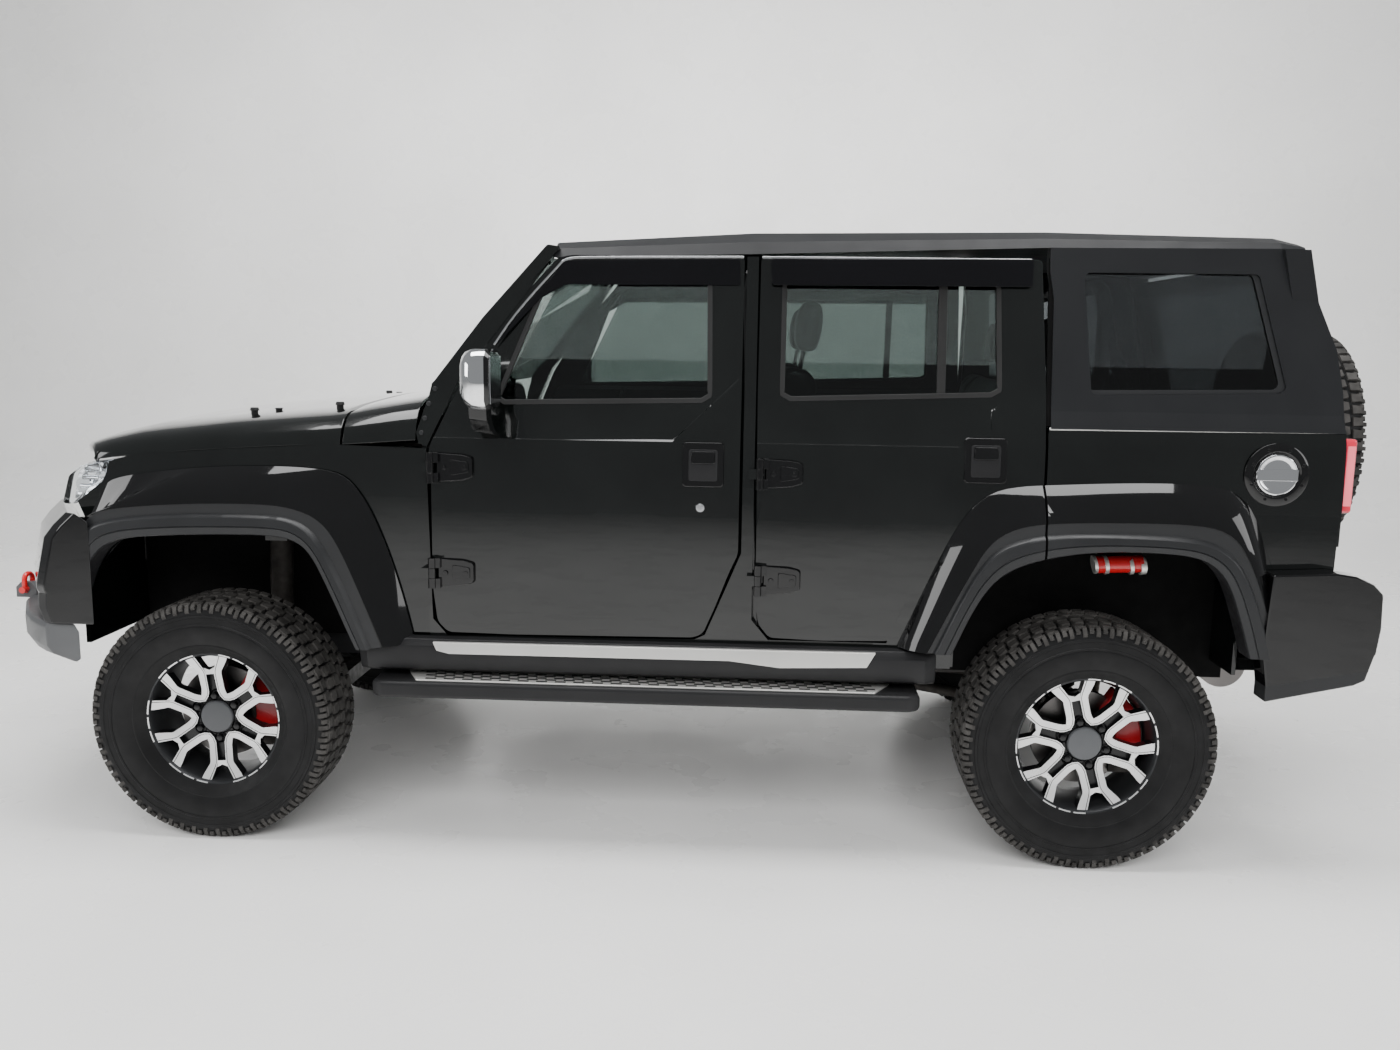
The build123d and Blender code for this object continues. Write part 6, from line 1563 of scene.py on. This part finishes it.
@dataclass
class Cushion:
    """One padded part of a seat, swollen by cloth simulation.

    Attributes:
        name: Piece name.
        low: Lowest corner in millimetres.
        high: Highest corner.
        lean: Angle about Y in degrees.
        channels: Sewn channels across the pad.
        voxel: Size of its mesh in metres before the simulation.
        travel: Farthest that the cloth may move, in metres.
    """

    name: str
    low: Place
    high: Place
    lean: float = 0
    channels: int = 4
    voxel: float = 0.01
    travel: float = 0.024

    def build(self, replaces: Sequence[str] = ()) -> None:
        bm = bmesh.new()
        slab(bm, self.low, self.high)
        middle = (spot(*self.low) + spot(*self.high)) / 2
        bmesh.ops.bevel(bm, geom=bm.edges[:], offset=0.028, offset_type="OFFSET", segments=3, profile=0.5,
                        affect="EDGES", material=-1)
        lean = Matrix.Rotation(math.radians(self.lean), 4, "Y")
        turn = Matrix.Translation(middle) @ lean @ Matrix.Translation(-middle)
        mesh = bpy.data.meshes.new(self.name)
        bm.to_mesh(mesh)
        bm.free()
        pad = bpy.data.objects.new(self.name, mesh)
        bpy.context.scene.collection.objects.link(pad)
        remesh = pad.modifiers.new("even", "REMESH")
        remesh.mode = "VOXEL"
        remesh.voxel_size = self.voxel
        self._apply(pad)
        self._swell(pad)
        work = bmesh.new()
        work.from_mesh(pad.data)
        self._sew(work, middle)
        bmesh.ops.transform(work, matrix=turn, verts=work.verts[:])
        bpy.data.objects.remove(pad)
        piece = Piece(self.name, "body", "seat_cloth", (Finishes.LEATHER,), replaces, smooth=1, crisp=180)
        piece.finish(work)

    def _apply(self, pad: bpy.types.Object) -> None:
        """Freeze a pad's modifiers into its mesh."""
        graph = bpy.context.evaluated_depsgraph_get()
        made = bpy.data.meshes.new_from_object(pad.evaluated_get(graph))
        pad.modifiers.clear()
        pad.data = made

    def _swell(self, pad: bpy.types.Object) -> None:
        """Inflate the pad with gravity off and cap its travel."""
        rest = [v.co.copy() for v in pad.data.vertices]
        cloth = pad.modifiers.new("swell", "CLOTH")
        cloth.settings.use_pressure = True
        cloth.settings.uniform_pressure_force = 4
        cloth.settings.effector_weights.gravity = 0
        cloth.settings.quality = 4
        scene = bpy.context.scene
        for number in range(1, 21):
            scene.frame_set(number)
        self._apply(pad)
        for vert, start in zip(pad.data.vertices, rest):
            move = vert.co - start
            if move.length > self.travel:
                vert.co = start + move.normalized() * self.travel
        scene.frame_set(1)

    def _sew(self, bm: Mesh, middle: Vector) -> None:
        """Press in the sewn channels and the side seams."""
        size = spot(*self.high) - spot(*self.low)
        upright = size.z > size.x
        for vert in bm.verts:
            offset = vert.co - middle
            run = (offset.z / size.z if upright else offset.x / size.x) + 0.5
            across = abs(offset.y) / (size.y / 2)
            ridge = abs(((run * self.channels) % 1) - 0.5) * 2
            channel = max(0, (ridge - 0.82) / 0.18) * 0.006 * (across < 0.62)
            seam = max(0, 1 - abs(across - 0.64) / 0.03) * 0.007
            vert.co -= vert.normal * (channel + seam)


@dataclass
class Cabin:
    """Seats, inside mirror and gear lever. Sizes in millimetres."""

    def build(self) -> None:
        """Make the seats' pads, their bases and the small pieces."""
        for side in Side:
            y = 380 * side.value
            word = side.word
            first = ("seats_front",) if side is Side.LEFT else ()
            Cushion(f"seat_cushion_{word}", (-330, y - 230, 800), (150, y + 230, 930)).build(first)
            Cushion(f"seat_back_{word}", (-470, y - 225, 930), (-370, y + 225, 1530), -10, 6).build()
            Cushion(f"head_rest_{word}", (-540, y - 122, 1560), (-465, y + 122, 1725), -6, 1).build()
        Cushion("rear_seat_cushion", (-1110, -590, 800), (-660, 590, 930)).build(("seats_rear",))
        Cushion("rear_seat_back", (-1240, -590, 930), (-1150, 590, 1490), -10, 5).build()
        for y in (-360, 360):
            Cushion(f"rear_head_rest_{'left' if y > 0 else 'right'}", (-1320, y - 120, 1520),
                    (-1250, y + 120, 1680), -6, 1).build()
        base = bmesh.new()
        for y in (-380, 380):
            slab(base, (-310, y - 190, 640), (110, y + 190, 806))
            drum(base, spot(-478, y - 50, 1500), spot(-496, y - 50, 1600), 0.006, 12)
            drum(base, spot(-478, y + 50, 1500), spot(-496, y + 50, 1600), 0.006, 12)
        slab(base, (-1100, -560, 640), (-690, 560, 806))
        drum(base, spot(90, 0, 880), spot(60, 0, 1010), 0.011, 16)
        drum(base, spot(62, 0, 1000), spot(56, 0, 1050), 0.026, 20, 0.02)
        Piece("seat_bases", "body", "plastic_black", (Finishes.CABIN,), (), bevel=10, segments=2).finish(base)
        glass = bmesh.new()
        slab(glass, (402, -120, 1740), (424, 120, 1796))
        drum(glass, spot(424, 0, 1776), spot(452, 0, 1812), 0.009, 12)
        Piece("inside_mirror", "body", "plastic_black", (Finishes.MOULDING,), (), bevel=6, segments=2).finish(
            glass
        )


@dataclass
class Stage:
    """Floor, wall, lights and camera."""

    camera_at: Place = (-358.3103, 4416.9651, 1585.729)
    yaw: float = 0.0524
    pitch: float = 0.1542
    roll: float = -0.0142
    lens: float = 30.2

    def build(self) -> None:
        """Set up the room, the light and the camera."""
        self._room()
        self._lights()
        self._camera()

    def _room(self) -> None:
        """A pale floor that curves up into a pale wall behind the car."""
        bm = bmesh.new()
        profile = ((9, 0), (-4.2, 0), (-5, 0.12), (-5.6, 0.5), (-5.9, 1.2), (-6, 7))
        wires = []
        for x in (-22, 22):
            verts = [bm.verts.new((x, y, z - 0.0005)) for y, z in profile]
            wires.append([bm.edges.new(pair) for pair in zip(verts, verts[1:])])
        bmesh.ops.bridge_loops(bm, edges=wires[0] + wires[1])
        if sum(f.normal.z for f in bm.faces) < 0:
            bmesh.ops.reverse_faces(bm, faces=bm.faces[:])
        mesh = bpy.data.meshes.new("studio_floor")
        bm.to_mesh(mesh)
        bm.free()
        mesh.materials.append(Finishes.FLOOR.material())
        mesh.shade_smooth()
        floor = bpy.data.objects.new("studio_floor", mesh)
        bpy.context.scene.collection.objects.link(floor)

    def _lights(self) -> None:
        """Soft boxes overhead, behind and before the car, and a dim even sky."""
        for name, at, aim, size, power, seen in (
            ("top_box", (0, 0.9, 5.4), (0, 0, 0.6), (6, 2.6), 400, True),
            ("fill_box", (0, 6.5, 4.6), (0, 0, 0.9), (9, 3), 610, False),
            ("wall_box", (0, -2.6, 4.8), (0, -5.6, 1.6), (10, 1.2), 250, False),
            ("nose_box", (5.4, 2.6, 2.6), (1.8, 0.4, 0.9), (1.8, 2), 60, True),
            ("tail_box", (-5.6, 2.6, 2.6), (-1.8, 0.4, 0.9), (1.6, 2), 40, True),
        ):
            data = bpy.data.lights.new(name, "AREA")
            data.shape = "RECTANGLE"
            data.size, data.size_y = size
            data.energy = power
            lamp = bpy.data.objects.new(name, data)
            lamp.location = at
            lamp.visible_glossy = seen
            lamp.rotation_euler = (Vector(aim) - Vector(at)).to_track_quat("-Z", "Y").to_euler()
            bpy.context.scene.collection.objects.link(lamp)
        world = bpy.data.worlds.new("even_sky")
        world.use_nodes = True
        back = world.node_tree.nodes["Background"]
        back.inputs["Color"].default_value = (0.8, 0.82, 0.84, 1)
        back.inputs["Strength"].default_value = 0.34
        bpy.context.scene.world = world

    def _camera(self) -> None:
        """The photograph's viewing place and direction."""
        yaw, pitch, roll = self.yaw, self.pitch, self.roll
        ahead = Vector((math.sin(yaw) * math.cos(pitch), -math.cos(yaw) * math.cos(pitch), -math.sin(pitch)))
        flat_right = ahead.cross(Vector((0, 0, 1))).normalized()
        flat_down = ahead.cross(flat_right)
        right = flat_right * math.cos(roll) + flat_down * math.sin(roll)
        down = flat_down * math.cos(roll) - flat_right * math.sin(roll)
        turn = Matrix((right, -down, -ahead)).transposed().to_4x4()
        data = bpy.data.cameras.new("photo_camera")
        data.lens = self.lens
        data.clip_end = 100
        camera = bpy.data.objects.new("photo_camera", data)
        camera.matrix_world = Matrix.Translation(spot(*self.camera_at)) @ turn
        bpy.context.scene.collection.objects.link(camera)
        bpy.context.scene.camera = camera


CARRIED: dict[str, Finish] = {
    name: finish
    for finish, names in (
        (Finishes.FRAME, "chassis_frame roll_bars"),
        (Finishes.PAINT, "body_shell body_side_left body_side_right cowl_panel front_wings bonnet tailgate"),
        (Finishes.SATIN, "roof_hardtop"),
        (Finishes.DARK_GLASS, "quarter_windows tailgate_glass"),
        (Finishes.MOULDING, "grille front_bumper rear_bumper mirror_left mirror_right"),
        (Finishes.REFLECTOR, "headlamps"),
        (Finishes.STEEL_GREY, "steel_bar"),
        (Finishes.RED, "tow_shackles"),
        (Finishes.CLEAR_GLASS, "windscreen glass_front_left glass_front_right"),
        (Finishes.CLEAR_GLASS, "glass_rear_left glass_rear_right"),
        (Finishes.RED_LENS, "tail_lamps"),
        (Finishes.IRON, "front_suspension rear_axle rear_springs engine_block"),
        (Finishes.IRON, "propshaft knuckle_left knuckle_right"),
        (Finishes.DISC, "exhaust"),
        (Finishes.CABIN, "dashboard"),
        (Finishes.LEATHER, "seats_front seats_rear"),
    )
    for name in names.split()
}


def dress(nodes: dict[str, bpy.types.Object]) -> None:
    """Give every CAD node its finish."""
    for name, node in nodes.items():
        finish = CARRIED.get(name, Finishes.GRAINED)
        node.data.materials.clear()
        node.data.materials.append(finish.material())


def main() -> None:
    """Build the car's looks in order."""
    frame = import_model()
    skin = SideSkin()
    Stage().build()
    dress(frame["nodes"])
    Wheel().fit()
    Doors(skin).build()
    Flares(skin).build()
    Sides(skin).build()
    Hood().build()
    Ends(skin).build()
    Brakes().build()
    Cabin().build()


if __name__ == "__main__":
    logging.basicConfig(level=logging.INFO)
    main()
